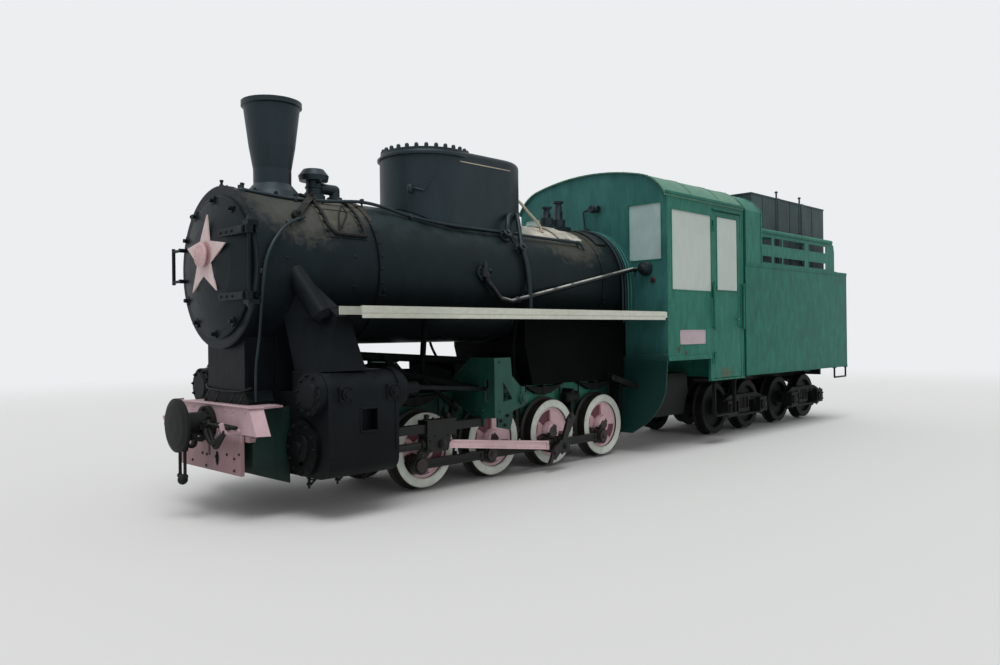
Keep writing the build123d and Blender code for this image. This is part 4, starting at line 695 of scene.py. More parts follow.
class Former:
    """Gathers the faces of one piece, given in metres in the object's frame."""

    def __init__(self, name: str, side: int = 1) -> None:
        """Starts an empty piece.

        Args:
            name: the piece's name.
            side: 1 takes what is given as it is, -1 mirrors it to the right side.
        """
        self.name = name
        self.side = side
        self.mesh = bmesh.new()

    def sides(self) -> Iterator[int]:
        """Left side, then right side, on which what the loop adds is mirrored."""
        for self.side in (1, -1):
            yield self.side
        self.side = 1

    def placed(self, point: Point) -> Vector:
        """A point or direction on the side that is being built."""
        return Vector((point[0], self.side * point[1], point[2]))

    @staticmethod
    def basis(axis: Point) -> tuple[Vector, Vector, Vector]:
        """Two directions across an axis and the axis itself, all of length 1."""
        along = Vector(axis).normalized()
        across = along.orthogonal().normalized()
        return across, along.cross(across), along

    def skin(self, low: list, high: list) -> None:
        """Faces between two rings, either of which may be a single point.

        Args:
            low: vertices of the first ring.
            high: vertices of the second ring.
        """
        count = max(len(low), len(high))
        for i in range(count if count > 1 else 0):
            j = (i + 1) % count
            if len(low) == 1:
                self.mesh.faces.new((low[0], high[j], high[i]))
            elif len(high) == 1:
                self.mesh.faces.new((low[i], low[j], high[0]))
            else:
                self.mesh.faces.new((low[i], low[j], high[j], high[i]))

    def ring(self, centre: Vector, across: Vector, over: Vector,
            turns: Iterable[float]) -> list[bmesh.types.BMVert]:
        """New points round a centre.

        Args:
            centre: the ring's middle.
            across: from the middle to the ring at the angle 0.
            over: from the middle to the ring a quarter turn on.
            turns: the points' angles in radians.

        Returns:
            The points in order.
        """
        return [self.mesh.verts.new(centre + across * math.cos(turn) + over * math.sin(turn))
            for turn in turns]

    def turned(self, at: Point, axis: Point, profile: Iterable[tuple[float, float]],
            sides: int = 20, closed: bool = False) -> None:
        """A shape turned about an axis.

        Args:
            at: start point on the axis.
            axis: its direction.
            profile: radius and distance along the axis, in order.
            sides: number of sides.
            closed: joins the last ring to the first, for a ring with a hole.
        """
        across, over, along = self.basis(self.placed(axis))
        rings = []
        for radius, reach in profile:
            centre = self.placed(at) + along * reach
            if radius < 1e-6:
                rings.append([self.mesh.verts.new(centre)])
                continue
            turns = [2 * math.pi * (i + 0.5) / sides for i in range(sides)]
            rings.append(self.ring(centre, across * radius, over * radius, turns))
        for low, high in zip(rings, rings[1:] + ([rings[0]] if closed else [])):
            self.skin(low, high)
        for ends in () if closed else (rings[0], rings[-1]):
            if len(ends) > 2:
                self.mesh.faces.new(ends)

    def rod(self, start: Point, end: Point, radius: float, sides: int = 14,
            edge: float = 0.15) -> None:
        """A round rod with softened ends.

        Args:
            start: middle of one end.
            end: middle of the other.
            radius: its radius.
            sides: number of sides.
            edge: how much of the radius the softened edge takes.
        """
        reach = (Vector(end) - Vector(start)).length
        cut = min(radius * edge, reach * 0.3)
        profile = [(radius - cut, 0), (radius, cut), (radius, reach - cut), (radius - cut, reach)]
        self.turned(start, Vector(end) - Vector(start), profile, sides)

    def rivet(self, at: Point, axis: Point, radius: float = 0.009) -> None:
        """A domed rivet head."""
        self.turned(at, axis, [(radius, -0.001), (radius * 0.96, radius * 0.3),
            (radius * 0.6, radius * 0.62), (0, radius * 0.76)], 9)

    def rivets(self, start: Point, pitch: Point, count: int, axis: Point,
            radius: float = 0.009) -> None:
        """A row of rivets.

        Args:
            start: the first one's place.
            pitch: the vector from one to the next.
            count: how many there are.
            axis: the way their heads stand out.
            radius: size of a head.
        """
        for step in range(count):
            self.rivet([s + step * p for s, p in zip(start, pitch)], axis, radius)

    def nut(self, at: Point, axis: Point, radius: float = 0.014, height: float = 0.014,
            stud: float = 0.6) -> None:
        """A hexagon nut on a washer, with the stud's end standing out of it.

        Args:
            at: middle of the seat.
            axis: the way the stud points.
            radius: across the nut's corners, halved.
            height: the nut's height.
            stud: how far the stud stands out, in nut heights.
        """
        self.turned(at, axis, [(radius * 1.25, -0.001), (radius * 1.25, height * 0.16),
            (0, height * 0.16)], 12)
        self.turned(at, axis, [(radius, 0), (radius, height * 0.85), (radius * 0.82, height),
            (0, height)], 6)
        self.turned(at, axis, [(radius * 0.52, 0), (radius * 0.52, height * (1 + stud)),
            (radius * 0.4, height * (1.1 + stud)), (0, height * (1.1 + stud))], 8)

    def stud_ring(self, centre: Point, axis: Point, ring: float, count: int, radius: float = 0.013,
            height: float = 0.012, keep: Callable[[Vector], bool] = lambda spot: True) -> None:
        """Nuts on a circle round a centre.

        Args:
            centre: middle of the circle.
            axis: the way the studs point.
            ring: the circle's radius.
            count: how many nuts it has.
            radius: size of a nut.
            height: height of a nut.
            keep: says whether a nut is wanted at a point.
        """
        across, over, _ = self.basis(self.placed(axis))
        for step in range(count):
            turn = 2 * math.pi * (step + 0.5) / count
            offset = (across * math.cos(turn) + over * math.sin(turn)) * ring
            spot = Vector(centre) + self.placed(offset)
            if keep(spot):
                self.nut(spot, axis, radius, height)

    def strap(self, start: Point, end: Point, width: float, thick: float, facing: Point) -> None:
        """A flat strap with round ends.

        Args:
            start: middle of one round end.
            end: middle of the other.
            width: its width.
            thick: its thickness, from the points on along facing.
            facing: the way its flat face looks.
        """
        along = (Vector(end) - Vector(start)).normalized()
        out = Vector(facing).normalized()
        side = along.cross(out).normalized() * width / 2
        corners = []
        for centre, first in ((Vector(end), 0), (Vector(start), math.pi)):
            for step in range(7):
                turn = first + math.pi * step / 6
                corners.append(centre + side * math.cos(turn) + along
                    * (width / 2 * math.sin(turn)))
        self.plate(corners, out * thick)

    def arc(self, centre: Point, radii: tuple[float, float], angles: tuple[float, float],
            wide: tuple[float, float], steps: int = 10) -> None:
        """A curved block round an axis that runs across the engine.

        Args:
            centre: X and Z of the axis.
            radii: inner and outer radius.
            angles: first and last angle in degrees, from +X towards +Z.
            wide: its two ends along Y.
            steps: how many flats it has.
        """
        outline = []
        for radius, turns in ((radii[0], range(steps + 1)), (radii[1], range(steps, -1, -1))):
            for step in turns:
                turn = math.radians(angles[0] + (angles[1] - angles[0]) * step / steps)
                outline.append((centre[0] + radius * math.cos(turn), wide[0],
                    centre[1] + radius * math.sin(turn)))
        low = [self.mesh.verts.new(self.placed(p)) for p in outline]
        high = [self.mesh.verts.new(self.placed((p[0], wide[1], p[2]))) for p in outline]
        self.skin(low, high)
        last = len(outline) - 1
        for ring in (low, high):
            for step in range(steps):
                self.mesh.faces.new((ring[step], ring[step + 1], ring[last - step - 1],
                    ring[last - step]))

    def block(self, low: Point, high: Point, edge: float = 0.003,
            turn: Matrix | None = None) -> None:
        """A box with bevelled edges.

        Args:
            low: lowest corner.
            high: highest corner.
            edge: width of the bevel.
            turn: turns or moves the finished box.
        """
        centre = self.placed([(a + b) / 2 for a, b in zip(low, high)])
        size = [abs(b - a) for a, b in zip(low, high)]
        matrix = Matrix.Translation(centre) @ Matrix.Diagonal((*size, 1))
        made = bmesh.ops.create_cube(self.mesh, size=1, matrix=matrix)["verts"]
        edges = list({e for v in made for e in v.link_edges})
        cut = min(edge, min(size) * 0.3)
        result = bmesh.ops.bevel(self.mesh, geom=edges, offset=cut, segments=1, affect="EDGES")
        if turn is not None:
            bmesh.ops.transform(self.mesh, matrix=turn, verts=result["verts"])

    def border(self, low: Point, high: Point, width: float, inset: float, edge: float) -> None:
        """Four strips round an upright opening.

        Args:
            low: lowest corner of the whole frame.
            high: its highest corner.
            width: width of a strip.
            inset: how far the upright strips end below the top and above the bottom.
            edge: width of the bevels.
        """
        wide = 0 if abs(high[0] - low[0]) > abs(high[1] - low[1]) else 1
        for axis, first, last in ((2, low[2], low[2] + width), (2, high[2] - width, high[2]),
                (wide, low[wide], low[wide] + width), (wide, high[wide] - width, high[wide])):
            start, end = list(low), list(high)
            if axis == wide:
                start[2], end[2] = low[2] + inset, high[2] - inset
            start[axis], end[axis] = first, last
            self.block(start, end, edge)

    def plate(self, outline: Sequence[Point], thick: Point) -> None:
        """A flat plate.

        Args:
            outline: its corners in order.
            thick: the vector from one face to the other.
        """
        low = [self.mesh.verts.new(self.placed(p)) for p in outline]
        high = [self.mesh.verts.new(self.placed(p) + self.placed(thick)) for p in outline]
        self.skin(low, high)
        self.mesh.faces.new(low)
        self.mesh.faces.new(high)

    def pipe(self, points: Sequence[Point], radius: float, bend: float = 0.06,
            sides: int = 10) -> None:
        """A pipe along straight runs with rounded bends.

        Args:
            points: its ends and corners.
            radius: its radius.
            bend: how far from a corner the bend starts.
            sides: number of sides.
        """
        given = [self.placed(p) for p in points]
        line = [given[0]]
        for before, corner, after in zip(given, given[1:], given[2:]):
            back, on = before - corner, after - corner
            reach = min(bend, back.length * 0.48, on.length * 0.48)
            first, last = corner + back.normalized() * reach, corner + on.normalized() * reach
            for step in range(5):
                t = step / 4
                line.append(first * (1 - t) ** 2 + corner * (2 * t * (1 - t)) + last * t ** 2)
        line.append(given[-1])
        across = self.basis(line[1] - line[0])[0]
        rings = []
        for i, spot in enumerate(line):
            along = (line[min(i + 1, len(line) - 1)] - line[max(i - 1, 0)]).normalized()
            across = (across - along * across.dot(along)).normalized()
            over = along.cross(across)
            turns = [2 * math.pi * k / sides for k in range(sides)]
            rings.append(self.ring(spot, across * radius, over * radius, turns))
        for low, high in zip(rings, rings[1:]):
            self.skin(low, high)
        self.mesh.faces.new(rings[0])
        self.mesh.faces.new(rings[-1])

    def piece(self, finish: Finish, body: str = "locomotive",
            sharp: float = 38.0) -> bpy.types.Object:
        """Closes the piece and hangs it on its body.

        Args:
            finish: its surface.
            body: the CAD body that it moves with.
            sharp: angle in degrees above which an edge shows as sharp.

        Returns:
            The new object.
        """
        bmesh.ops.recalc_face_normals(self.mesh, faces=self.mesh.faces)
        for face in self.mesh.faces:
            face.smooth = True
        limit = math.radians(sharp)
        for edge in self.mesh.edges:
            edge.smooth = len(edge.link_faces) == 2 and edge.calc_face_angle() < limit
        data = bpy.data.meshes.new(self.name)
        self.mesh.to_mesh(data)
        self.mesh.free()
        data.materials.append(finish.material())
        made = placed_object(self.name, data)
        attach(made, body)
        LOG.info("%s: %d faces on %s", self.name, len(data.polygons), body)
        return made


@dataclass
class FrontEnd:
    """Front beam, buffer and deck."""

    beam_x: float = 4.478
    stud: float = 0.01
    marks: tuple[tuple[float, float], ...] = ((-0.378, 0.441), (-0.264, 0.463), (-0.104, 0.428),
        (-0.038, 0.423), (0.099, 0.422), (0.262, 0.449), (0.366, 0.43), (0.433, 0.465),
        (-0.11, 0.514), (-0.048, 0.344), (0.364, 0.349), (-0.266, 0.363))
    rail_z: float = 0.868

    def build(self) -> None:
        """Makes the bolts, the deck rail and the buffer's small pieces."""
        self.beam_bolts()
        self.deck_rail()
        self.buffer_pieces()

    def beam_bolts(self) -> None:
        """Bolt stubs on the lower plate, rivets on the beam and the worn lip along its top."""
        stubs = Former("beam_bolt_stubs")
        for y, z in self.marks:
            stubs.turned((self.beam_x - 0.002, y, z), X, [(self.stud, 0), (self.stud * 0.8, 0.009),
                (0, 0.011)], 8)
        stubs.piece(Paint.IRON)
        heads = Former("beam_rivets")
        for y in (-0.52, -0.36, -0.24, 0.24, 0.36, 0.52):
            heads.rivet((self.beam_x, y, 0.752), X, 0.01)
        heads.rivets((self.beam_x, -0.42, 0.585), (0, 0.14, 0), 7, X)
        heads.piece(Paint.PINK)
        oval = [math.radians(20 * step) for step in range(18)]
        # Painted shade: a thin black oval plate makes the slot look deep.
        slot = Former("beam_slot_shade")
        slot.plate([(self.beam_x - 0.001, 0.116 + 0.023 * math.cos(a), 0.412 + 0.05 * math.sin(a))
            for a in oval], (0.0025, 0, 0))
        slot.piece(Paint.SOOT_AND_SHADE)
        lip = Former("beam_top_lip")
        lip.block((self.beam_x - 0.02, -0.584, 0.7785), (self.beam_x + 0.012, 0.584, 0.79), 0.004)
        for _ in lip.sides():
            corner = [(self.beam_x + 0.008, 0.584, 0.7785), (4.392, 0.618, 0.7785),
                (4.392, 0.596, 0.7785), (self.beam_x - 0.016, 0.562, 0.7785)]
            lip.plate(corner, (0, 0, 0.011))
        lip.piece(Paint.PINK)
        lug = Former("side_plate_brackets")
        for _ in lug.sides():
            lug.block((4.39, 0.455, 0.545), (4.45, 0.505, 0.592), 0.006)
            lug.nut((4.42, 0.505, 0.568), Y, 0.014)
        lug.piece(Paint.PINK)

    def deck_rail(self) -> None:
        """Bent rail before the saddle with four slanting studs."""
        rail = Former("deck_rail")
        points = [(4.335, -0.335, self.rail_z + 0.03), (4.372, -0.25, self.rail_z + 0.008),
            (4.374, 0.03, self.rail_z - 0.004), (4.372, 0.27, self.rail_z + 0.002),
            (4.335, 0.345, self.rail_z + 0.03)]
        rail.pipe(points, 0.008, 0.05)
        for y, tip in ((-0.221, -0.175), (-0.072, -0.019), (0.165, 0.201), (0.29, 0.33)):
            rail.rod((4.366, y, self.rail_z - 0.01), (4.425, tip, 0.792), 0.005, 8)
            rail.nut((4.414, tip - 0.008, 0.802), (0.55, 0.4, -0.6), 0.011, 0.01)
        rail.piece(Paint.IRON)

    def buffer_pieces(self) -> None:
        """Nuts on the shank's flange, eyes of the hanging link and rings of the shackle."""
        nuts = Former("buffer_nuts")
        for at in circle((4.5183, 0, 0.65), 0.1, range(30, 390, 60)):
            nuts.nut(at, X, 0.014, 0.012)
        for _ in nuts.sides():
            nuts.nut((4.672, 0.046, 0.487), Y, 0.017, 0.014)
            nuts.nut((4.672, 0.046, 0.3), Y, 0.015, 0.012)
            nuts.turned((4.59, 0.44, 0.622), X, [(0.016, 0), (0.024, 0.004), (0.024, 0.012),
                (0.016, 0.016)], 14)
        nuts.piece(Paint.IRON)
        link = Former("coupling_link")
        for lean in (0, 0.03):
            link.pipe([(4.53, 0.105, 0.672 - lean), (4.56 + lean, 0.17, 0.64 - lean),
                (4.578 + lean, 0.285, 0.512 + lean), (4.584 + lean * 0.6, 0.33, 0.516 + lean),
                (4.59, 0.448, 0.618)], 0.0155, 0.05, 12)
        link.piece(Paint.IRON)
        rear = Former("rear_buffer_nuts")
        for at in circle((-4.48, 0, 0.65), 0.1, range(30, 390, 60)):
            rear.nut(at, BACK, 0.014, 0.012)
        rear.piece(Paint.IRON, "tender")


@dataclass
class Smokebox:
    """Bands, patch, pipes and door fittings of the smokebox."""

    band_x: float = 3.387
    front_x: float = 4.399
    rivets: int = 36
    hinge: tuple[float, float] = (4.44, 0.53)
    door_r: float = 0.508
    star: tuple[tuple[float, float], ...] = ((0.03, 2.112), (0.062, 1.926), (0.296, 1.893),
        (0.082, 1.77), (0.158, 1.574), (-0.028, 1.682), (-0.208, 1.572), (-0.125, 1.772),
        (-0.284, 1.895), (-0.078, 1.932))

    def build(self) -> None:
        """Makes the smokebox's pieces, then those of its door."""
        self.bands()
        self.patch()
        self.side_pipe()
        self.knobs()
        self.door()

    def bands(self) -> None:
        """Joint band with its rivets and the rolled ring at the front."""
        band = Former("smokebox_bands")
        for low, high, lift in ((self.band_x - 0.022, self.band_x + 0.022, 0.014),
                (4.352, self.front_x - 0.002, 0.01)):
            profile = [(BOILER_R - 0.002, 0), (BOILER_R + lift, 0.002),
                (BOILER_R + lift, high - low - 0.002), (BOILER_R - 0.002, high - low)]
            band.turned((low, 0, BOILER_Z), X, profile, 96, closed=True)
        band.piece(Paint.SMOKEBOX)
        heads = Former("smokebox_rivets")
        for x, lift, size in ((self.band_x, 0.014, 0.01), (4.376, 0.01, 0.007)):
            for step in range(self.rivets):
                degrees = 360 * step / self.rivets
                if 228 < degrees < 312:
                    continue
                at = around_boiler(x, degrees, lift)
                heads.rivet(at, outward(at), size)
        heads.piece(Paint.SMOKEBOX)

    def patch(self) -> None:
        """Nuts on the patch frame, the wire loop on its sheet and the flat lever ahead of it."""
        nuts = Former("patch_nuts")
        places = [(x, a) for x in (3.507, 3.82) for a in (27, 35, 43, 51)] + [(x, 24.6)
            for x in (3.58, 3.66, 3.74)]
        for x, degrees in places:
            at = around_boiler(x, degrees, 0.006)
            nuts.nut(at, outward(at), 0.014, 0.012, 0.3)
        edge = [around_boiler(3.805, a, 0.012) for a in range(78, 24, -6)]
        edge += [around_boiler(x, 24.6, 0.012) for x in (3.76, 3.64, 3.5)]
        nuts.pipe(edge, 0.015, 0.03, 8)
        nuts.pipe([around_boiler(3.497, a, 0.012) for a in range(78, 21, -6)], 0.013, 0.03, 8)
        nuts.piece(Paint.IRON)
        wire = Former("patch_wire")
        loop = ((3.56, 58), (3.575, 46), (3.665, 34), (3.72, 28))
        wire.pipe([around_boiler(x, a, 0.012) for x, a in loop], 0.005, 0.02, 8)
        wire.pipe([around_boiler(x, a, 0.012) for x, a in ((3.56, 58), (3.66, 44), (3.72, 28))],
            0.005, 0.02, 8)
        wire.piece(Paint.IRON)
        lever = Former("flat_lever")
        for low, high in ((63, 56), (56, 49), (49, 37)):
            x0, x1 = (3.8 + (63 - low) * 0.0092, 3.8 + (63 - high) * 0.0092)
            lift = 0.02
            outline = [around_boiler(x0 - 0.03, low, lift), around_boiler(x0 + 0.03, low, lift),
                around_boiler(x1 + 0.03, high, lift), around_boiler(x1 - 0.03, high, lift)]
            lever.plate(outline, outward(around_boiler(x0, (low + high) / 2)) * 0.018)
        for x, degrees, radius in ((3.8, 63, 0.045), (4.04, 37, 0.04)):
            at = around_boiler(x, degrees, -0.004)
            out = outward(at)
            lever.turned(at, out, [(radius, 0), (radius, 0.034), (radius * 0.8, 0.044), (0, 0.046)],
                18)
            lever.nut(at + out * 0.044, out, 0.018, 0.016)
        lever.piece(Paint.IRON)

    def side_pipe(self) -> None:
        """Thin pipe from the lever's foot down the smokebox's side to the deck, with its clips."""
        pipe = Former("side_pipe")
        points = [(3.985, 0.478, 2.095), (4.044, 0.5, 2.078), (4.187, 0.545, 2.006),
            (4.305, 0.588, 1.876), (4.362, 0.603, 1.759), (4.374, 0.598, 1.64), (4.366, 0.556, 1.5),
            (4.335, 0.482, 1.372), (4.3, 0.4, 1.24), (4.3, 0.345, 1.05), (4.3, 0.335, 0.8)]
        pipe.pipe(points, 0.012, 0.07)
        for x, degrees in ((4.12, 31), (4.371, -6), (4.356, -24)):
            at = around_boiler(x, degrees, -0.002)
            out = outward(at)
            pipe.turned(at, out, [(0.02, 0), (0.02, 0.016), (0.013, 0.022), (0, 0.023)], 12)
        pipe.piece(Paint.BLACK)

    def knobs(self) -> None:
        """Lamp knobs on the front ring and plugs on the shell."""
        knobs = Former("smokebox_knobs")
        for x, degrees, radius in ((4.376, 88, 0.016), (4.322, 69, 0.019), (4.376, 138, 0.02)):
            at = around_boiler(x, degrees, 0.004)
            out = outward(at)
            knobs.turned(at, out, [(radius, 0), (radius, 0.014), (radius * 0.6, 0.018),
                (radius * 0.6, 0.032), (radius * 0.85, 0.036), (radius * 0.85, 0.048), (0, 0.052)],
                14)
        for x, degrees in ((3.707, 60), (3.644, 54), (3.93, 16), (3.62, 8), (3.62, -14), (4.18, 4)):
            at = around_boiler(x, degrees, -0.001)
            knobs.rivet(at, outward(at), 0.012)
        knobs.piece(Paint.SMOKEBOX)
        lugs = Former("hinge_lug_nuts")
        x, y = self.hinge
        for z, way in ((2.026, 1), (1.468, -1)):
            lugs.nut((x, y, z), (0, 0, way), 0.02, 0.018)
        lugs.piece(Paint.BLACK)

    def door(self) -> None:
        """Nuts on the clamps, rivets along the straps and the raised bead round the door."""
        nuts = Former("door_nuts")
        clamps = (55, 90, 125, 152, 208, 235, 270, 305)
        for at in circle((self.front_x + 0.0365, 0, BOILER_Z), self.door_r - 0.034, clamps):
            nuts.nut(at, X, 0.015, 0.012, 0.3)
        for z in (BOILER_Z - 0.22, BOILER_Z + 0.22):
            for y in (0.19, 0.27, 0.35):
                nuts.rivet((self.front_x + 0.0753, y, z), X, 0.012)
            nuts.block((self.front_x + 0.07, 0.425, z - 0.02),
                (self.front_x + 0.079, 0.495, z + 0.02), 0.003)
        nuts.piece(Paint.SMOKEBOX, "smokebox_door")
        bead = Former("door_bead")
        profile = [(0.5, 0), (0.5, 0.007), (0.492, 0.01), (0.484, 0.007), (0.484, 0)]
        bead.turned((self.front_x + 0.0135, 0, BOILER_Z), X, profile, 96, closed=True)
        bead.piece(Paint.SMOKEBOX, "smokebox_door")
        self.star_plate()

    def star_plate(self) -> None:
        """Hand-cut star on the door, with the plain disc that stands off its middle."""
        star = Former("star_plate")
        star.plate([(4.484, y, z) for y, z in self.star], (0.01, 0, 0))
        star.rod((4.479, 0, 1.812), (4.492, 0, 1.812), 0.06, 24)
        hub = [(0.03, 0), (0.03, 0.028), (0.082, 0.03), (0.088, 0.036), (0.088, 0.044),
            (0.08, 0.05), (0, 0.051)]
        star.turned((4.49, 0, 1.826), X, hub, 40)
        for at in circle((4.5405, 0, 1.826), 0.066, range(0, 360, 30)):
            star.rivet(at, X, 0.005)
        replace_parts(star.piece(Paint.STAR, "smokebox_door"), "door_star")


@dataclass
class BoilerTop:
    """Everything that stands on or runs along the boiler."""

    dome_x: float = 2.463
    dome_r: float = 0.372
    dome_top: float = 2.829
    nuts_round: int = 28
    chimney_x: float = 3.962
    relief_x: float = 3.605
    conduit: tuple[tuple[float, float, float], ...] = ((4.33, 0.215, 2.285), (4.18, 0.27, 2.262),
        (3.955, 0.3, 2.243), (3.64, 0.3, 2.262), (3.366, 0.3, 2.292), (3.15, 0.31, 2.268),
        (2.93, 0.36, 2.208), (2.6, 0.425, 2.168), (1.942, 0.44, 2.156), (1.56, 0.444, 2.146),
        (0.905, 0.455, 2.134), (0.866, 0.47, 2.116), (0.862, 0.5, 2.062))
    safety: tuple[tuple[float, float], ...] = ((0.851, 2.545), (0.663, 2.622))

    def build(self) -> None:
        """Makes the pieces from front to back."""
        self.chimney()
        self.relief()
        self.long_conduit()
        self.dome()
        self.dome_pipes()
        self.bands()
        self.safety_valves()
        self.rear_plate()
        self.green_pipes()
        self.check_valves()

    def chimney(self) -> None:
        """Bolts round the foot."""
        piece = Former("chimney_fittings")
        for step in range(8):
            turn = math.radians(45 * step + 22)
            y = 0.205 * math.sin(turn)
            z = BOILER_Z + math.sqrt(BOILER_R**2 - y * y) + 0.012
            piece.nut((self.chimney_x + 0.205 * math.cos(turn), y, z), (0, y * 1.2, 1), 0.012,
                0.011, 0.3)
        piece.piece(Paint.BLACK)

    def relief(self) -> None:
        """Nuts on the valve's foot and the small lever on its side."""
        piece = Former("relief_valve_fittings")
        for at in circle((self.relief_x, 0, 2.345), 0.074, range(0, 360, 60), (X, Y)):
            piece.nut(at, Z, 0.012, 0.012)
        piece.turned((self.relief_x, 0, 2.4), Z, [(0.06, 0), (0.068, 0.004), (0.068, 0.016),
            (0.06, 0.02)], 28)
        piece.rod((self.relief_x, 0.05, 2.44), (self.relief_x + 0.01, 0.118, 2.452), 0.01, 10)
        piece.turned((self.relief_x - 0.19, 0, 2.33), Z,
            [(0.056, 0), (0.062, 0.004), (0.062, 0.018), (0.056, 0.022)], 24)
        piece.piece(Paint.BLACK)

    def long_conduit(self) -> None:
        """Conduit along the boiler's top left, with the clips that hold it off the skin."""
        run = Former("top_conduit")
        run.pipe(self.conduit, 0.013, 0.1)
        for x, y, z in self.conduit[:-1:2]:
            foot = Vector((x, y, BOILER_Z + math.sqrt(max(0, (BOILER_R - 0.004) ** 2 - y * y))))
            run.rod(foot, (x, y, z), 0.008, 8)
            run.block((x - 0.012, y - 0.019, z - 0.019), (x + 0.012, y + 0.019, z + 0.019), 0.005)
        run.turned((4.33, 0.215, 2.262), Z, [(0.03, 0), (0.03, 0.02), (0.022, 0.03), (0.022, 0.05),
            (0, 0.056)], 16)
        run.piece(Paint.BLACK)

    def dome(self) -> None:
        """Cap nuts round the lid, the lap's edge on the side painted cream as a highlight, and the
        small cock with its handle.
        """
        nuts = Former("dome_nuts")
        for at in circle((self.dome_x, 0, self.dome_top), self.dome_r,
                spread(0, 360, self.nuts_round + 1)[:-1], (X, Y)):
            nuts.turned(at, Z, [(0.019, -0.001), (0.019, 0.018), (0.017, 0.026), (0.01, 0.034),
                (0, 0.036)], 8)
        nuts.piece(Paint.BLACK)
        # Painted highlight: the thin cream strip on each side stands for light along the lap's
        # edge.
        lap_highlights = Former("dome_lap_highlights")
        for _ in lap_highlights.sides():
            lap_highlights.block((1.8, 0.399, 2.722), (2.415, 0.404, 2.731), 0.002)
        lap_highlights.piece(Paint.CREAM)
        cock = Former("dome_cock")
        cock.turned((2.79, 0.205, 2.476), (0.8, 0.6, 0), [(0.034, 0), (0.034, 0.01), (0.016, 0.016),
            (0.016, 0.05)], 14)
        cock.turned((2.832, 0.237, 2.436), Z, [(0.02, 0), (0.024, 0.01), (0.024, 0.052),
            (0.014, 0.066), (0, 0.068)], 14)
        cock.pipe([(2.822, 0.24, 2.47), (2.806, 0.29, 2.462), (2.766, 0.33, 2.446)], 0.009, 0.02)
        cock.rod((2.77, 0.318, 2.44), (2.696, 0.372, 2.56), 0.006, 8)
        cock.piece(Paint.BLACK)

    def dome_pipes(self) -> None:
        """Sand and steam pipes that leave the casing's rear, and the pale pipe behind it."""
        pipes = Former("dome_pipes")
        for _ in pipes.sides():
            pipes.pipe([(1.8, 0.385, 2.33), (1.868, 0.43, 2.308), (1.91, 0.47, 2.24),
                (1.93, 0.478, 2.15)], 0.021, 0.07)
            pipes.pipe([(1.7, 0.376, 2.34), (1.735, 0.43, 2.29), (1.77, 0.485, 2.15),
                (1.802, 0.535, 2.03)], 0.021, 0.07)
            pipes.pipe([(1.802, 0.545, 2.02), (1.792, 0.59, 1.86), (1.778, 0.604, 1.64),
                (1.77, 0.604, 1.46)], 0.023, 0.07)
            for foot in ((1.93, 0.44, 2.11), (1.802, 0.5, 2)):
                out = Vector((0, foot[1], foot[2] - BOILER_Z)).normalized()
                pipes.turned(foot, out, [(0.052, 0), (0.052, 0.012), (0.034, 0.018), (0.034, 0.046),
                    (0.044, 0.05), (0.044, 0.064), (0.018, 0.07), (0.018, 0.084), (0, 0.086)], 14)
                knob = Vector(foot) + out * 0.036
                pipes.rod(knob - Vector((0.084, 0, 0)), knob + Vector((0.076, 0, 0.01)), 0.011, 8)
        pipes.pipe([(2.265, 0.56, 1.76), (2.265, 0.62, 1.784), (2.33, 0.64, 1.79)], 0.012, 0.02)
        pipes.piece(Paint.BLACK)
        pale = Former("pale_pipe")
        pale.pipe([(1.6, 0.296, 2.5), (1.56, 0.31, 2.47), (1.48, 0.3, 2.415), (1.33, 0.29, 2.33),
            (1.262, 0.288, 2.27), (1.262, 0.288, 2.225)], 0.013, 0.06)
        pale.nut((1.262, 0.288, 2.226), Z, 0.022, 0.022, 0.1)
        pale.piece(Paint.CREAM)

    def bands(self) -> None:
        """Buckles and screws of the lagging bands."""
        piece = Former("band_buckles")
        for x in (3.35, 1.808, 0.627):
            for degrees in (-18, 198):
                at = around_boiler(x, degrees, 0)
                out = outward(at)
                down = Vector((0, out.z, -out.y)) * (1 if out.y > 0 else -1)
                for step in (-0.022, 0.022):
                    piece.turned(at + down * step, out,
                        [(0.012, -0.002), (0.012, 0.014), (0.008, 0.018), (0, 0.018)], 10)
                piece.rod(at + down * -0.04 + out * 0.01, at + down * 0.04 + out * 0.01, 0.005, 8)
        for x in (3.318, 1.845, 1.772, 0.664, 0.59, 2.56, 1.2):
            for step in range(24):
                degrees = 15 * step + 7
                at = around_boiler(x, degrees, -0.0075)
                piece.rivet(at, outward(at), 0.006)
        piece.piece(Paint.BOILER)

    def safety_valves(self) -> None:
        """Sleeves, tie rods and nuts of the two valves."""
        piece = Former("safety_valve_fittings")
        for x, top in self.safety:
            low = 2.35
            tall = top - low
            piece.turned((x, 0, low), Z, [(0.052, 0), (0.056, 0.006), (0.056, 0.05), (0.045, 0.06),
                (0.041, 0.066), (0.041, tall - 0.06), (0.034, tall - 0.04), (0.034, tall - 0.012),
                (0.026, tall), (0, tall + 0.004)], 20)
            for _ in piece.sides():
                piece.rod((x, 0.052, low), (x, 0.052, low + tall * 0.55), 0.007, 8)
                piece.nut((x, 0.052, low + tall * 0.55), Z, 0.012, 0.011)
        piece.piece(Paint.BLACK)

    def rear_plate(self) -> None:
        """Flat-laid cover plate over the boiler's top before the cab, with its bolts."""
        piece = Former("top_cover_plate")
        angles = list(range(44, 137, 4))
        for low, high, lift in ((0.4, 0.56, 0.012), (0.955, 1.12, 0.012)):
            inner = [around_boiler(low, a, 0.001) for a in angles]
            outer = [around_boiler(low, a, lift) for a in angles]
            for first, second, third, fourth in zip(inner, inner[1:], outer, outer[1:]):
                reach = Vector((high - low, 0, 0))
                piece.plate([first, second, fourth, third], reach)
        for x in (0.42, 0.54, 0.975, 1.1):
            for degrees in (46, 58, 70, 110, 122, 134):
                at = around_boiler(x, degrees, 0.012)
                piece.rivet(at, outward(at), 0.01)
        piece.piece(Paint.BOILER)

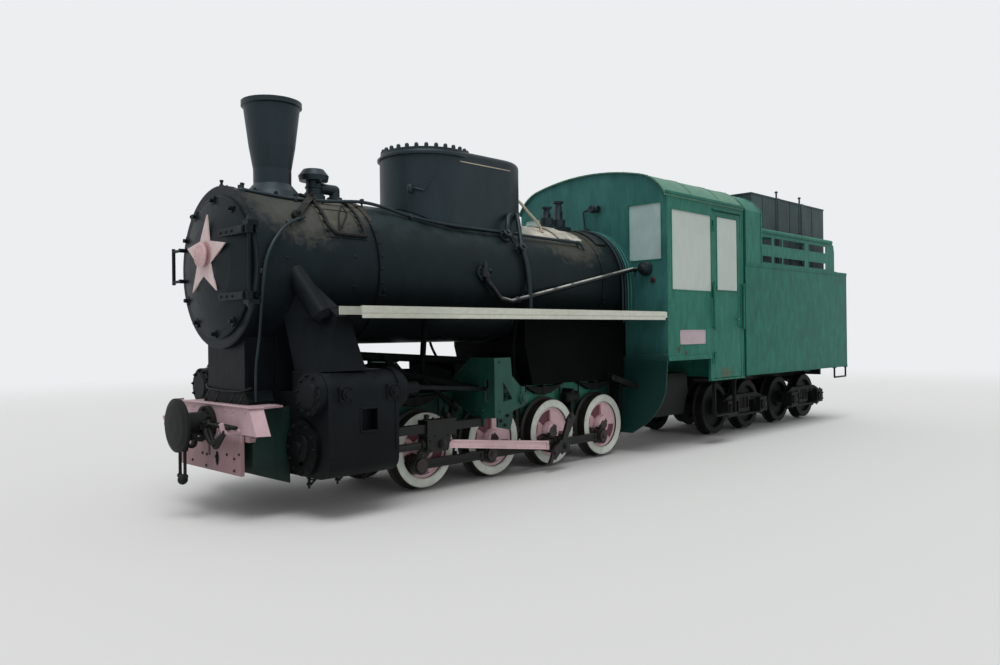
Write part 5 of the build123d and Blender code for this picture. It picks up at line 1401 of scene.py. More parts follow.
    def green_pipes(self) -> None:
        """Pipes that hug the boiler's rear end and drop to the running board."""
        for name, finish, places in (("rear_pipes_green", Paint.FRONT_WALL, (0.214, 0.262)),
                ("rear_pipes_black", Paint.BLACK, (0.31, 0.358))):
            piece = Former(name)
            for x in places:
                for _ in piece.sides():
                    arc = [around_boiler(x, a, 0.02) for a in range(88, 4, -7)]
                    piece.pipe([*arc, (x, 0.59, 1.7), (x, 0.59, 1.452)], 0.011, 0.05, 8)
            piece.piece(finish)

    def check_valves(self) -> None:
        """Flanges and nuts of the check valves, and union nuts along the feed pipes."""
        piece = Former("check_valve_fittings")
        for _ in piece.sides():
            piece.turned((2.323, 0.565, 1.767), Y, [(0.066, 0), (0.066, 0.014), (0.042, 0.018)], 20)
            for at in circle((2.323, 0.579, 1.767), 0.053, range(45, 405, 90), (X, Z)):
                piece.nut(at, Y, 0.011, 0.01)
            for a, b in (((2.3, 0.6, 1.7), (2.24, 0.6, 1.642)),
                    ((1.96, 0.6, 1.54), (1.9, 0.6, 1.552))):
                piece.turned(a, Vector(b) - Vector(a), [(0.03, 0), (0.032, 0.004), (0.032, 0.036),
                    (0.028, 0.04)], 6)
            piece.nut((2.323, 0.6, 1.835), Z, 0.018, 0.016, 1.2)
        piece.piece(Paint.BLACK)


@dataclass
class Cylinders:
    """Covers, glands, studs and cocks of the cylinders and their slide bars."""

    chest: tuple[float, float] = (0.79, 0.86)
    rod: tuple[float, float] = (0.645, 0.395)
    casing_y: float = 0.94
    ends: tuple[float, float] = (3.53, 4.11)

    def build(self) -> None:
        """Makes the covers' fittings, the casing's rivets and the cocks."""
        self.covers()
        self.casing()
        self.cocks()

    def covers(self) -> None:
        """Stud rings, glands and caps at both ends."""
        studs = Former("cylinder_studs")
        rear, front = self.ends
        for _ in studs.sides():
            y, z = self.chest
            studs.stud_ring((front + 0.06, y, z), X, 0.125, 10)
            studs.stud_ring((rear - 0.06, y, z), BACK, 0.141, 10)
            studs.turned((rear - 0.118, y, z), BACK, [(0.07, -0.001), (0.07, 0.018), (0.044, 0.026),
                (0.044, 0.052), (0.028, 0.058), (0, 0.058)], 24)
            studs.stud_ring((rear - 0.136, y, z), BACK, 0.056, 4, 0.01, 0.01)
            y, z = self.rod
            studs.stud_ring((front + 0.03, y, z + 0.095), X, 0.166, 12)
            studs.turned((front + 0.03, y, z + 0.095), X,
                [(0.096, -0.001), (0.092, 0.012), (0.05, 0.026), (0.046, 0.046), (0, 0.05)], 28)
            studs.stud_ring((rear - 0.04, y, z + 0.075), BACK, 0.157, 12,
                keep=lambda spot: abs(spot.y - self.rod[0]) > 0.055 or spot.z < 0.45)
            gland = [(0.033, 0), (0.066, 0), (0.066, 0.016), (0.052, 0.03), (0.052, 0.052),
                (0.033, 0.052)]
            studs.turned((rear - 0.04, y, z), BACK, gland, 28, closed=True)
            for x in (2.48, 3.33, 3.43):
                for step in (-0.022, 0.022):
                    studs.nut((x, y + step, 0.556), Z, 0.013, 0.013)
            for x in (3.6, 3.72, 3.86, 3.96):
                studs.nut((x, 0.62, self.chest[1] + 0.15), Z, 0.013, 0.012)
        studs.piece(Paint.CYLINDER)

    def casing(self) -> None:
        """Rivets and edge strips of the sheet casing."""
        sheet = Former("cylinder_casing")
        rear, front = self.ends
        for _ in sheet.sides():
            y0, y1 = self.casing_y, self.casing_y + 0.005
            for x in (rear, front - 0.03):
                sheet.block((x, y0, 0.44), (x + 0.03, y1, 0.86), 0.002)
                sheet.rivets((x + 0.015, y1, 0.46), (0, 0, 0.053), 8, Y, 0.006)
            for x in (3.58, 3.976):
                for dx in (-0.04, 0.04):
                    for z in (0.815, 0.895):
                        sheet.nut((x + dx, self.casing_y + 0.012, z), Y, 0.01, 0.009)
                sheet.turned((x, self.casing_y + 0.03, 0.855), Y,
                    [(0.022, -0.001), (0.022, 0.012), (0, 0.012)], 6)
            sheet.border((3.704, y0, 0.588), (3.86, y1, 0.76), 0.012, 0.002, 0.002)
            sheet.rod((4.11, 0.48, 1.74), (4.008, 0.75, 1.362), 0.074, 28, 0.5)
            for x, radius in ((3.505, 0.166), (3.466, 0.158), (3.42, 0.12)):
                profile = [(radius - 0.004, 0), (radius, 0.004), (radius, 0.02),
                    (radius - 0.004, 0.024)]
                sheet.turned((x, *self.chest), X, profile, 36)
            sheet.rod((3.42, *self.chest), (3.24, *self.chest), 0.046, 20)
            sheet.rod((3.24, *self.chest), (2.47, 0.735, 0.8), 0.018, 14)
        sheet.piece(Paint.CYLINDER)

    def cocks(self) -> None:
        """Drain cocks below each cylinder with the rod that works them."""
        cocks = Former("drain_cocks")
        profile = [(0.017, -0.004), (0.017, 0.024), (0.011, 0.028), (0.011, 0.052), (0.019, 0.056),
            (0.019, 0.07), (0.008, 0.074), (0.008, 0.094), (0, 0.094)]
        for _ in cocks.sides():
            for x in (3.59, 3.82, 4.05):
                cocks.turned((x, 0.6, 0.293), DOWN, profile, 12)
                cocks.strap((x, 0.618, 0.23), (x - 0.04, 0.618, 0.262), 0.016, 0.006, Y)
            cocks.rod((3.48, 0.628, 0.262), (4.06, 0.628, 0.262), 0.006, 8)
        cocks.piece(Paint.IRON)


@dataclass
class Motion:
    """Small pieces on the rods, crossheads and driving wheels, and the brake gear behind them."""

    small_ends: dict[int, float] = field(default_factory=lambda: {1: 2.9166, -1: 2.7037})
    main_axle: float = AXLES[2]
    rod_z: float = 0.395

    def build(self) -> None:
        """Makes each body's pieces."""
        for number, x in enumerate(AXLES, 1):
            self.axle(number, x)
        for side, word in SIDES:
            self.crosshead(side, word)
            self.connecting_rod(side, word)
            self.coupling_rod(side, word)
        self.brakes()
        self.springs()
        self.brackets()

    def axle(self, number: int, x: float) -> None:
        """Caps and pin nuts of one axle.

        Args:
            number: the axle's number from the front.
            x: its place.
        """
        hub = Former(f"axle_{number}_caps")
        for side in hub.sides():
            hub.turned((x, 0.474, AXLE_Z), Y, [(0.078, 0), (0.078, 0.005), (0.052, 0.008),
                (0.048, 0.0085), (0.044, 0.0065), (0, 0.0065)], 28)
            if number != 3:
                dx, dz = CRANK_PINS[side]
                at = (x + dx, 0.569, AXLE_Z + dz)
                hub.turned(at, Y, [(0.04, -0.001), (0.04, 0.002), (0.03, 0.0025)], 20)
                if number > 1:
                    hub.nut((at[0], 0.571, at[2]), Y, 0.025, 0.012, 0.2)
        hub.piece(Paint.WHEEL, f"driving_axle_{number}")
        # Painted shade: thin plum wedges on each wheel centre stand for the shadowed web and
        # counterweight.
        shade_wedge = Former(f"axle_{number}_wheel_shade_wedges")
        for _ in shade_wedge.sides():
            shade_wedge.arc((x, AXLE_Z), (0.08, 0.203), (38, 92), (0.4235, 0.4255))
            shade_wedge.arc((x, AXLE_Z), (0.097, 0.221), (184, 228), (0.445, 0.4475))
        shade_wedge.piece(Paint.PLUM_SHADE, f"driving_axle_{number}")
        rim = Former(f"axle_{number}_tyre_clips")
        for _ in rim.sides():
            for at in circle((x, 0.4425, AXLE_Z), 0.226, range(12, 372, 60), (X, Z)):
                rim.rivet(at, Y, 0.007)
        rim.piece(Paint.WHEEL, f"driving_axle_{number}")

    def crosshead(self, side: int, word: str) -> None:
        """Oil cups' lids, the pin's nut and the cheek's bolts.

        Args:
            side: 1 for the left side, -1 for the right.
            word: the side's name in the body.
        """
        x = self.small_ends[side]
        piece = Former(f"crosshead_{word}_fittings", side)
        for step in (-0.11, 0.11):
            piece.turned((x + step, 0.645, 0.6185), Z,
                [(0.023, -0.004), (0.023, 0.006), (0.012, 0.012), (0, 0.013)], 14)
        piece.nut((x, 0.715, self.rod_z), Y, 0.03, 0.014, 0.3)
        for dx, dz in ((0.12, 0.035), (0.12, -0.035), (-0.066, 0.062), (0.066, 0.066)):
            piece.nut((x + dx, 0.703, self.rod_z + dz), Y, 0.011, 0.009, 0.3)
        for dx in (-0.135, -0.045, 0.045, 0.135):
            piece.nut((x + dx, 0.645, 0.5865), Z, 0.012, 0.011)
        collar = [(0.0302, 0), (0.042, 0), (0.042, 0.03), (0.0302, 0.03)]
        piece.turned((x + 0.15, 0.645, self.rod_z), X, collar, 20, closed=True)
        piece.piece(Paint.GREASY, f"crosshead_{word}")

    def connecting_rod(self, side: int, word: str) -> None:
        """Oil cup, strap bolts and the return crank's pins.

        Args:
            side: 1 for the left side, -1 for the right.
            word: the side's name in the body.
        """
        dx, dz = CRANK_PINS[side]
        big = Vector((self.main_axle + dx, 0.645, AXLE_Z + dz))
        small = Vector((self.small_ends[side], 0.645, self.rod_z))
        ahead = (small - big).normalized()
        up = Vector((-ahead.z, 0, ahead.x))
        piece = Former(f"connecting_rod_{word}_fittings", side)
        cup = [(0.013, -0.002), (0.013, 0.014), (0.022, 0.018), (0.022, 0.036), (0.01, 0.041),
            (0, 0.042)]
        piece.turned(big - ahead * 0.02 + up * 0.066, up, cup, 14)
        piece.turned(small + up * 0.05, up, [(0.011, -0.002), (0.011, 0.01), (0.018, 0.014),
            (0.018, 0.026), (0, 0.03)], 14)
        for along in (-0.052, 0.078):
            for way in (1, -1):
                piece.nut(big + ahead * along + up * way * 0.066, up * way, 0.013, 0.012)
        for along, lift in ((-0.056, 0.045), (-0.056, -0.045), (0.086, 0.042), (0.086, -0.042)):
            at = big + ahead * along + up * lift
            piece.nut((at.x, 0.675, at.z), Y, 0.01, 0.008, 0.3)
        piece.nut((big.x, 0.727, big.z), Y, 0.03, 0.016, 0.3)
        far = (-0.076, 0.27) if side > 0 else (0.27, 0.076)
        piece.turned((big.x + far[0], 0.727, big.z + far[1]), Y,
            [(0.02, -0.001), (0.02, 0.01), (0.012, 0.014), (0, 0.014)], 14)
        near = (0.15, -0.05) if side > 0 else (-0.05, -0.15)
        piece.nut((big.x + near[0], 0.727, big.z + near[1]), Y, 0.016, 0.011)
        piece.piece(Paint.GREASY, f"connecting_rod_{word}")

    def coupling_rod(self, side: int, word: str) -> None:
        """Lids on the oil cups and keeper bolts at the eyes.

        Args:
            side: 1 for the left side, -1 for the right.
            word: the side's name in the body.
        """
        dx, dz = CRANK_PINS[side]
        piece = Former(f"coupling_rod_{word}_fittings", side)
        for x in AXLES:
            top = AXLE_Z + dz + 0.098
            piece.turned((x + dx, 0.523, top), Z, [(0.016, -0.003), (0.016, 0.006), (0.009, 0.01),
                (0, 0.011)], 12)
            for way in (1, -1):
                piece.nut((x + dx + way * 0.058, 0.553, AXLE_Z + dz), Y, 0.008, 0.006, 0.2)
        piece.piece(Paint.GREASY, f"coupling_rod_{word}")

    def brakes(self) -> None:
        """Shoes behind the wheels, their hangers, cross beams and pull rods."""
        shoes = Former("brake_shoes")
        gear = Former("brake_hangers")
        for x in AXLES:
            for _ in shoes.sides():
                shoes.arc((x, AXLE_Z), (0.308, 0.342), (152, 205), (0.388, 0.452))
            for _ in gear.sides():
                gear.strap((x - 0.345, 0.412, 0.3), (x - 0.352, 0.412, 0.69), 0.04, 0.016, Y)
                gear.nut((x - 0.345, 0.428, 0.3), Y, 0.014, 0.012)
                gear.turned((x - 0.352, 0.312, 0.69), Y, [(0.02, 0), (0.02, 0.13), (0, 0.13)], 14)
                gear.rod((x - 0.352, 0.3, 0.245), (x - 0.352, 0.455, 0.262), 0.015, 10)
            gear.rod((x - 0.352, -0.4, 0.25), (x - 0.352, 0.4, 0.25), 0.016, 12)
        for y in (0.12, -0.12):
            gear.rod((AXLES[3] - 0.352, y, 0.25), (AXLES[0] - 0.352, y, 0.25), 0.013, 10)
        shoes.piece(Paint.IRON)
        gear.piece(Paint.IRON)

    def springs(self) -> None:
        """Leaf springs over the axle boxes with buckles and hanger rods."""
        leaves = Former("leaf_springs")
        for x in AXLES:
            for _ in leaves.sides():
                for leaf in range(5):
                    half, top = 0.265 - 0.04 * leaf, 0.742 - 0.0135 * leaf
                    outline = []
                    for row, way in ((0, 1), (-0.012, -1)):
                        for step in range(-4, 5):
                            reach = half * way * step / 4
                            outline.append((x + reach, 0.328, top + row + 0.32 * reach * reach))
                    leaves.plate(outline, (0, 0.055, 0))
                leaves.block((x - 0.032, 0.322, 0.668), (x + 0.032, 0.39, 0.758), 0.004)
                for way in (1, -1):
                    leaves.rod((x + way * 0.245, 0.356, 0.585), (x + way * 0.245, 0.356, 0.792),
                        0.009, 8)
                    leaves.nut((x + way * 0.245, 0.356, 0.776), Z, 0.016, 0.014)
        leaves.piece(Paint.IRON)

    def brackets(self) -> None:
        """Bolts of the motion brackets, the gusset's rivets and the shaft ends."""
        bolts = Former("motion_bracket_bolts")
        for _ in bolts.sides():
            for z in (0.62, 1.02):
                bolts.nut((2.43, 0.86, z), Y, 0.01, 0.009, 0.2)
            for y, z in ((0.6, 0.62), (0.69, 0.62), (0.42, 0.86)):
                bolts.nut((2.458, y, z), X, 0.012, 0.011, 0.2)
            bolts.turned((2.165, 0.884, 0.712), Y, [(0.03, -0.001), (0.03, 0.012), (0.02, 0.016),
                (0, 0.016)], 16)
        bolts.piece(Paint.FRAME)
        link = Former("hanging_link_bolts")
        for _ in link.sides():
            for x, z in ((2.165, 0.64), (2.2, 0.56), (2.28, 0.52), (2.23, 0.48)):
                link.nut((x, 0.718, z), Y, 0.015, 0.013)
        link.piece(Paint.GREASY)


@dataclass
class Frame:
    """Rivets, steps, cups and pipes on the frame and below the boiler."""

    plate_y: float = 0.315
    board_top: float = 1.45

    def build(self) -> None:
        """Makes the frame's and the running boards' pieces."""
        self.rivets()
        self.boards()
        self.under_cab()
        self.under_pipes()

    def rivets(self) -> None:
        """Rows of rivets along the plates and the front side plates."""
        rows = Former("frame_rivets")
        for _ in rows.sides():
            for step in range(40):
                x = 4.05 - step * 0.13
                if not 3.52 < x < 4.12:
                    rows.rivet((x, self.plate_y, 0.745), Y, 0.008)
            places = [(x, z) for x in (4.245, 4.37) for z in (0.34, 0.44, 0.54, 0.64, 0.73)]
            for x, z in (*places, (4.14, 0.735), (4.19, 0.735)):
                rows.rivet((x, 0.455, z), Y)
        rows.piece(Paint.FRAME)

    def boards(self) -> None:
        """Screws along the boards' edges and the rod brackets below them."""
        screws = Former("running_board_screws")
        for _ in screws.sides():
            screws.rivets((0.24, 0.965, self.board_top), (0.133, 0, 0), 28, Z, 0.007)
            for x in (3.706, 2.906, 2.206, 1.506, 0.806):
                for y in (0.64, 0.9):
                    screws.rivet((x + 0.012, y, 1.412), X, 0.008)
        screws.piece(Paint.RUNNING)
        edges = Former("running_board_edges")
        for _ in edges.sides():
            edges.block((0.2, 0.9895, 1.368), (3.87, 0.9925, 1.453), 0.001)
        edges.piece(Paint.EDGE)
        stays = Former("running_board_stays")
        for _ in stays.sides():
            stays.rod((3.52, 0.7, 1.385), (0.2, 0.7, 1.385), 0.012, 10)
            for x in (3.3, 2.6, 1.9, 1.1, 0.4):
                stays.block((x - 0.01, 0.7 - 0.018, 1.37), (x + 0.01, 0.7 + 0.018, 1.44), 0.003)
        stays.piece(Paint.SOOT_AND_SHADE)

    def under_cab(self) -> None:
        """Cup and sloping strap below the cab's front, with the steps' bolts."""
        cup = Former("under_cab_cup")
        for _ in cup.sides():
            profile = [(0.04, 0), (0.057, 0.01), (0.057, 0.18), (0.044, 0.196), (0, 0.2)]
            cup.turned((0.872, 0.385, 0.624), X, profile, 20)
            cup.strap((0.561, 0.6, 0.802), (0.105, 0.6, 0.677), 0.052, 0.012, Y)
            for x, z in ((0.52, 0.791), (0.15, 0.69)):
                cup.nut((x, 0.612, z), Y, 0.014, 0.012)
            cup.rod((0.52, 0.48, 0.85), (0.52, 0.606, 0.791), 0.014, 10)
            cup.rod((0.15, 0.3, 0.69), (0.15, 0.606, 0.69), 0.014, 10)
        cup.piece(Paint.IRON)
        bolts = Former("cab_step_bolts")
        for _ in bolts.sides():
            for x in (-1.254, -0.822):
                for z in (0.69, 0.56):
                    bolts.nut((x + 0.002, 0.935, z), X, 0.011, 0.009)
            for x in (-1.2, -1.12, -1.04, -0.96, -0.88):
                bolts.block((x - 0.006, 0.925 - 0.05, 0.3335), (x + 0.006, 0.925 + 0.05, 0.339),
                    0.001)
        bolts.piece(Paint.IRON)

    def under_pipes(self) -> None:
        """Sand pipes to the wheels, the drain pipe and the rods below the boiler."""
        pipes = Former("under_boiler_pipes")
        for side in pipes.sides():
            pipes.pipe([(1.955, 0.612, 1.44), (1.955, 0.56, 1.15), (1.83, 0.44, 0.82),
                (1.738, 0.412, 0.62), (1.722, 0.412, 0.44)], 0.013, 0.08)
            pipes.rod((3.56, 0.45, 1.102), (2.44, 0.45, 1.03), 0.03, 14)
            pipes.rod((2.955, 0.56, 1.44), (2.955, 0.5, 0.86), 0.024, 12)
            pipes.strap((3.3, 0.5, 1.08), (3.18, 0.56, 0.82), 0.06, 0.014, (0, side, 0))
            pipes.block((3.16, 0.5 - 0.04, 0.9), (3.28, 0.5 + 0.04, 0.985), 0.008)
            pipes.turned((3.23, 0.47, 0.965), Y, [(0.058, 0), (0.064, 0.01), (0.064, 0.05),
                (0.03, 0.062), (0.03, 0.14), (0, 0.14)], 20)
            pipes.rod((3.23, 0.56, 0.965), (2.47, 0.64, 0.8), 0.026, 14)
            pipes.rod((3.02, 0.6, 0.905), (2.7, 0.64, 0.64), 0.018, 12)
            # Painted shade: dark sheets fill the space between the frame's top and the boiler.
            for plate in ([(3.52, 0.75), (3.52, 1.01), (3.28, 1.035), (3.22, 0.985), (2.9, 0.975),
                    (2.82, 1.01), (2.64, 1), (2.47, 0.93), (2.47, 0.75)],
                    [(2.42, 0.75), (2.42, 1.02), (2.02, 1.026), (1.86, 1), (1.1, 0.995),
                    (1.02, 0.75)]):
                pipes.plate([(x, 0.298, z) for x, z in plate], (0, 0.016, 0))
        pipes.piece(Paint.SOOT_AND_SHADE)


def arc_through(first: Point, middle: Point, last: Point, steps: int) -> list[tuple[float, float]]:
    """Points along the circle through three points of a plane.

    Args:
        first: where it starts.
        middle: a point on the way.
        last: where it ends.
        steps: number of flats.

    Returns:
        The points, ends included.
    """
    (ax, ay), (bx, by), (cx, cy) = first, middle, last
    twice = 2 * (ax * (by - cy) + bx * (cy - ay) + cx * (ay - by))
    sums = [x * x + y * y for x, y in (first, middle, last)]
    ox = (sums[0] * (by - cy) + sums[1] * (cy - ay) + sums[2] * (ay - by)) / twice
    oy = (sums[0] * (cx - bx) + sums[1] * (ax - cx) + sums[2] * (bx - ax)) / twice
    radius = math.hypot(ax - ox, ay - oy)
    start, end = math.atan2(ay - oy, ax - ox), math.atan2(cy - oy, cx - ox)
    turns = [start + (end - start) * step / steps for step in range(steps + 1)]
    return [(ox + radius * math.cos(turn), oy + radius * math.sin(turn)) for turn in turns]


def roof_line(lift: float, low: float = 2.64) -> list[tuple[float, float]]:
    """The roof's outline from the left eave over the top to the right eave, as Y and Z.

    Args:
        lift: distance off the outline that the cab and the hood share.
        low: height at which it starts and ends.

    Returns:
        The points in order.
    """
    half = HALF_WIDTH + lift
    knee = (0.684, 2.868 + lift)
    left = arc_through((half, 2.64), (0.881 + lift * 0.8, 2.772 + lift * 0.6), knee, 8)
    top = arc_through(knee, (0, 2.95 + lift), (-0.684, 2.868 + lift), 14)
    right = [(-y, z) for y, z in reversed(left)]
    return [(half, low)] + left + top[1:] + right[1:] + [(-half, low)]


def arched_strip(former: Former, x: tuple[float, float], lifts: tuple[float, float],
        low: float = 2.64) -> None:
    """A strip bent over the roof.

    Args:
        former: the piece that it belongs to.
        x: its two edges.
        lifts: its inner and outer distance off the outline.
        low: height of its lower ends.
    """
    rings = [[former.mesh.verts.new((at, y, z)) for y, z in roof_line(lift, low)] for at,
        lift in ((x[0], lifts[0]), (x[1], lifts[0]), (x[1], lifts[1]), (x[0], lifts[1]))]
    count = len(rings[0])
    for first, second in zip(rings, rings[1:] + rings[:1]):
        for step in range(count - 1):
            former.mesh.faces.new((first[step], first[step + 1], second[step + 1], second[step]))
    for end in (0, count - 1):
        former.mesh.faces.new([ring[end] for ring in rings])


@dataclass
class Cab:
    """Trim outside the cab, its lamp and gearbox, and the fittings inside."""

    front: float = 0.166
    back: float = -1.405
    window: tuple[float, float, float, float] = (-0.703, 0.062, 1.679, 2.495)
    front_window: tuple[float, float, float, float] = (0.54, 0.93, 1.987, 2.56)
    floor: float = 1.01
    backhead: float = 0.006

    def build(self) -> None:
        """Makes the cab's pieces from outside in."""
        self.trim()
        self.frames()
        self.doors()
        self.blank_plate()
        self.roof()
        self.front_wall()
        self.boiler_end()
        self.controls()
        self.seats()

    def trim(self) -> None:
        """Gutters, rub strips and rivets on the sides."""
        trim = Former("cab_trim")
        for _ in trim.sides():
            trim.block((-0.67, 0.991, 0.957), (0.16, 1.003, 1), 0.003)
            trim.block((-1.404, 0.991, 0.716), (-0.674, 1.003, 0.7335), 0.003)
            trim.block((self.back - 0.006, 0.998, 2.64), (0.196, 1.016, 2.654), 0.003)
            trim.block((self.back - 0.006, 1.012 - 0.004, 2.652), (0.196, 1.012 + 0.004, 2.668),
                0.002)
            trim.block((-1.362, 0.99, 2.566), (-0.728, 1.012, 2.58), 0.003)
            trim.block((-1.403, 0.99, 0.74), (-1.384, 0.995, 2.636), 0.002)
            trim.block((0.128, 0.99, 1.002), (0.162, 0.995, 2.636), 0.002)
            trim.rivets((0.145, 0.995, 1.05), (0, 0, 0.096), 17, Y, 0.0065)
            trim.rivets((-0.62, 1.003, 0.978), (0.12, 0, 0), 7, Y, 0.007)
        trim.piece(Paint.GREEN)

    def frames(self) -> None:
        """Thin frames round the boarded windows."""
        frames = Former("window_frames")
        x0, x1, z0, z1 = self.window
        for _ in frames.sides():
            frames.border((x0 - 0.01, 0.9885, z0 - 0.01), (x1 + 0.01, 0.9925, z1 + 0.01), 0.012,
                0.01, 0.001)
            for x in (-0.72, -1.37):
                frames.rod((x, 1.0148, 1.286), (x, 1.0148, 1.774), 0.0138, 14)
        y0, y1, z0, z1 = self.front_window
        for _ in frames.sides():
            frames.border((self.front - 0.002, y0 - 0.012, z0 - 0.012),
                (self.front + 0.004, y1 + 0.012, z1 + 0.012), 0.014, 0.012, 0.0015)
        frames.piece(Paint.GREEN)

    def doors(self) -> None:
        """Beads, screws and lock plates of both doors."""
        for side, word in SIDES:
            piece = Former(f"cab_door_{word}_trim", side)
            piece.border((-1.287, 0.9875, 1.686), (-0.821, 0.9925, 2.512), 0.012, 0.012, 0.0015)
            piece.block((-1.335, 0.9875, 1.3), (-1.262, 0.9925, 1.46), 0.002)
            for x, z in ((-1.325, 1.312), (-1.325, 1.448), (-1.272, 1.312), (-1.272, 1.448)):
                piece.rivet((x, 0.9925, z), Y, 0.005)
            piece.turned((-1.3, 0.9925, 1.33), Y, [(0.01, 0), (0.01, 0.003), (0.005, 0.003)], 12)
            for z in (0.96, 1.68, 2.39):
                for dz in (0.012, 0.048):
                    piece.rivet((-0.782, 0.998, z + dz), Y, 0.006)
            piece.rivets((-1.27, 0.988, 0.79), (0.08, 0, 0), 7, Y, 0.006)
            piece.piece(Paint.GREEN, f"cab_door_{word}")
            board = Former(f"cab_door_{word}_board", side)
            board.block((-1.273, 0.9795, 1.7), (-0.835, 0.9855, 2.498), 0.002)
            board.piece(Paint.BOARD, f"cab_door_{word}")

    def blank_plate(self) -> None:
        """Pink plate without writing below the side window."""
        plate = Former("side_blank_plates")
        for _ in plate.sides():
            plate.block((-0.56, 0.9895, 1.118), (-0.062, 0.994, 1.266), 0.002)
            plate.border((-0.56, 0.9895, 1.118), (-0.062, 0.9965, 1.266), 0.01, 0, 0.002)
            for x in (-0.54, -0.082):
                for z in (1.14, 1.244):
                    plate.rivet((x, 0.994, z), Y, 0.006)
        plate.piece(Paint.LILAC)

    def roof(self) -> None:
        """Seam strips over the roof and the rolled edge at both ends."""
        strips = Former("roof_strips")
        for low, high in ((-1.411, -1.385), (-0.94, -0.91), (-0.37, -0.34), (0.17, 0.196)):
            arched_strip(strips, (low, high), (0.008, 0.0125), 2.67)
        for x in (-1.398, -0.925, -0.355, 0.183):
            line = roof_line(0.0125)[1:-1]
            for y, z in line[2:-2:2]:
                strips.rivet((x, y, z), (0, y * 0.2, 1), 0.006)
        strips.turned((-0.6, 0, 2.95), Z, [(0.11, 0), (0.11, 0.02), (0.1, 0.028), (0, 0.03)], 32)
        strips.piece(Paint.ROOF)

    def front_wall(self) -> None:
        """Lamp on its bracket, gearbox, blank oval and lap strips on the front wall."""
        wall = Former("front_wall_strips")
        for _ in wall.sides():
            wall.block((self.front - 0.001, 0.59, 1), (self.front + 0.005, 0.985, 1.03), 0.002)
            wall.rivets((self.front + 0.005, 0.62, 1.015), (0, 0.068, 0), 6, X, 0.0065)
            wall.rivets((self.front, 0.965, 1.1), (0, 0, 0.08), 11, X, 0.0065)
        for at in circle((self.front, 0, BOILER_Z), 0.622, spread(4, 175, 19)):
            wall.rivet(at, X, 0.0065)
        ring = [(0.571, 0), (0.606, 0), (0.606, 0.006), (0.571, 0.01)]
        wall.turned((self.front, 0, BOILER_Z), X, ring, 72, closed=True)
        wall.piece(Paint.FRONT_WALL)
        lamp = Former("cab_lamp")
        lamp.pipe([(0.19, -0.015, 2.34), (0.19, -0.047, 2.566), (0.19, 0.058, 2.585),
            (0.2, 0.09, 2.585)], 0.01, 0.03)
        lamp.block((0.168, -0.05, 2.32), (0.182, 0.02, 2.38), 0.003)
        lamp.block((0.178, 0.076, 2.539), (0.262, 0.187, 2.607), 0.01)
        lamp.turned((0.262, 0.131, 2.573), X, [(0.032, -0.002), (0.036, 0.01), (0.03, 0.014),
            (0.026, 0.008), (0, 0.006)], 22)
        lamp.piece(Paint.BLACK)
        for side, word in SIDES:
            gear = Former(f"front_gearbox_{word}", side)
            gear.turned((self.front, 0.75, 1.9), X, [(0.075, -0.001), (0.075, 0.03), (0.064, 0.046),
                (0.064, 0.066), (0.034, 0.076), (0.026, 0.1), (0, 0.104)], 26)
            gear.stud_ring((self.front + 0.03, 0.75, 1.9), X, 0.069, 6, 0.008, 0.006)
            gear.piece(Paint.BLACK)
            gear = Former(f"front_plug_{word}", side)
            gear.turned((self.front, 0.832, 1.78), X,
                [(0.029, -0.001), (0.029, 0.01), (0.022, 0.014), (0, 0.014)], 20)
            gear.piece(Paint.MAROON if side > 0 else Paint.BLACK)

    def boiler_end(self) -> None:
        """Fire door, its frame and handle, and the washout plugs on the boiler's end."""
        door = Former("fire_door")
        face = self.backhead - 0.03
        for _ in door.sides():
            door.block((face - 0.014, 0.003, 1.29), (face, 0.15, 1.53), 0.005)
            door.rod((face - 0.024, 0.158, 1.3), (face - 0.024, 0.158, 1.52), 0.009, 10)
            for z in (1.33, 1.48):
                door.strap((face - 0.016, 0.155, z), (face - 0.016, 0.04, z), 0.03, 0.007, BACK)
        door.pipe([(face - 0.014, 0.03, 1.41), (face - 0.06, 0.03, 1.41), (face - 0.07, 0.1, 1.43)],
            0.008, 0.02)
        for y, z in ((0.36, 1.3), (-0.36, 1.3), (0.36, 1.6), (-0.36, 1.6), (0, 1.72)):
            door.nut((self.backhead, y, z), BACK, 0.028, 0.022, 0.1)
        for at in circle((self.backhead, 0, BOILER_Z), 0.52, spread(-12, 192, 26)):
            door.rivet(at, BACK, 0.01)
        door.piece(Paint.IRON)

    def controls(self) -> None:
        """Regulator, gauges, water glasses, valve wheels and the reverser."""
        brass = Former("cab_brass")
        face = self.backhead
        for y in (-0.25, -0.07, 0.11, 0.29):
            brass.rod((face, y, 2.08), (face - 0.08, y, 2.11), 0.011, 10)
            ring = [(0.03, 0), (0.036, 0.003), (0.036, 0.009), (0.03, 0.012), (0.026, 0.006)]
            brass.turned((face - 0.085, y, 2.112), (-1, 0, 0.3), ring, 20, closed=True)
            centre = Vector((face - 0.089, y, 2.113))
            for arm in circle((0, 0, 0), 0.03, (0, 60, 120)):
                brass.rod(centre - arm, centre + arm, 0.004, 6)
        for _ in brass.sides():
            for z in (1.79, 2.02):
                brass.rod((face, 0.33, z), (face - 0.075, 0.33, z), 0.013, 10)
                brass.turned((face - 0.065, 0.33, z - 0.024), Z,
                    [(0.016, 0), (0.02, 0.01), (0.02, 0.038), (0.016, 0.048)], 12)
        brass.rod((face, 0, 1.96), (face - 0.09, 0, 1.96), 0.02, 12)
        brass.piece(Paint.BRASS)
        dials = Former("gauge_dials")
        cases = Former("gauge_cases")
        for y, radius in ((0.3, 0.085), (-0.3, 0.075)):
            cases.turned((face + 0.02, y, 2.265), BACK,
                [(radius * 0.9, 0), (radius, 0.012), (radius, 0.048), (radius * 0.9, 0.056),
                (radius * 0.88, 0.05), (0, 0.05)], 30)
            cases.pipe([(face, y, 2.12), (face - 0.04, y, 2.15), (face - 0.01, y, 2.2)], 0.008,
                0.02)
            dials.turned((face - 0.03, y, 2.265), BACK, [(radius * 0.84, 0), (radius * 0.84, 0.002),
                (0, 0.002)], 30)
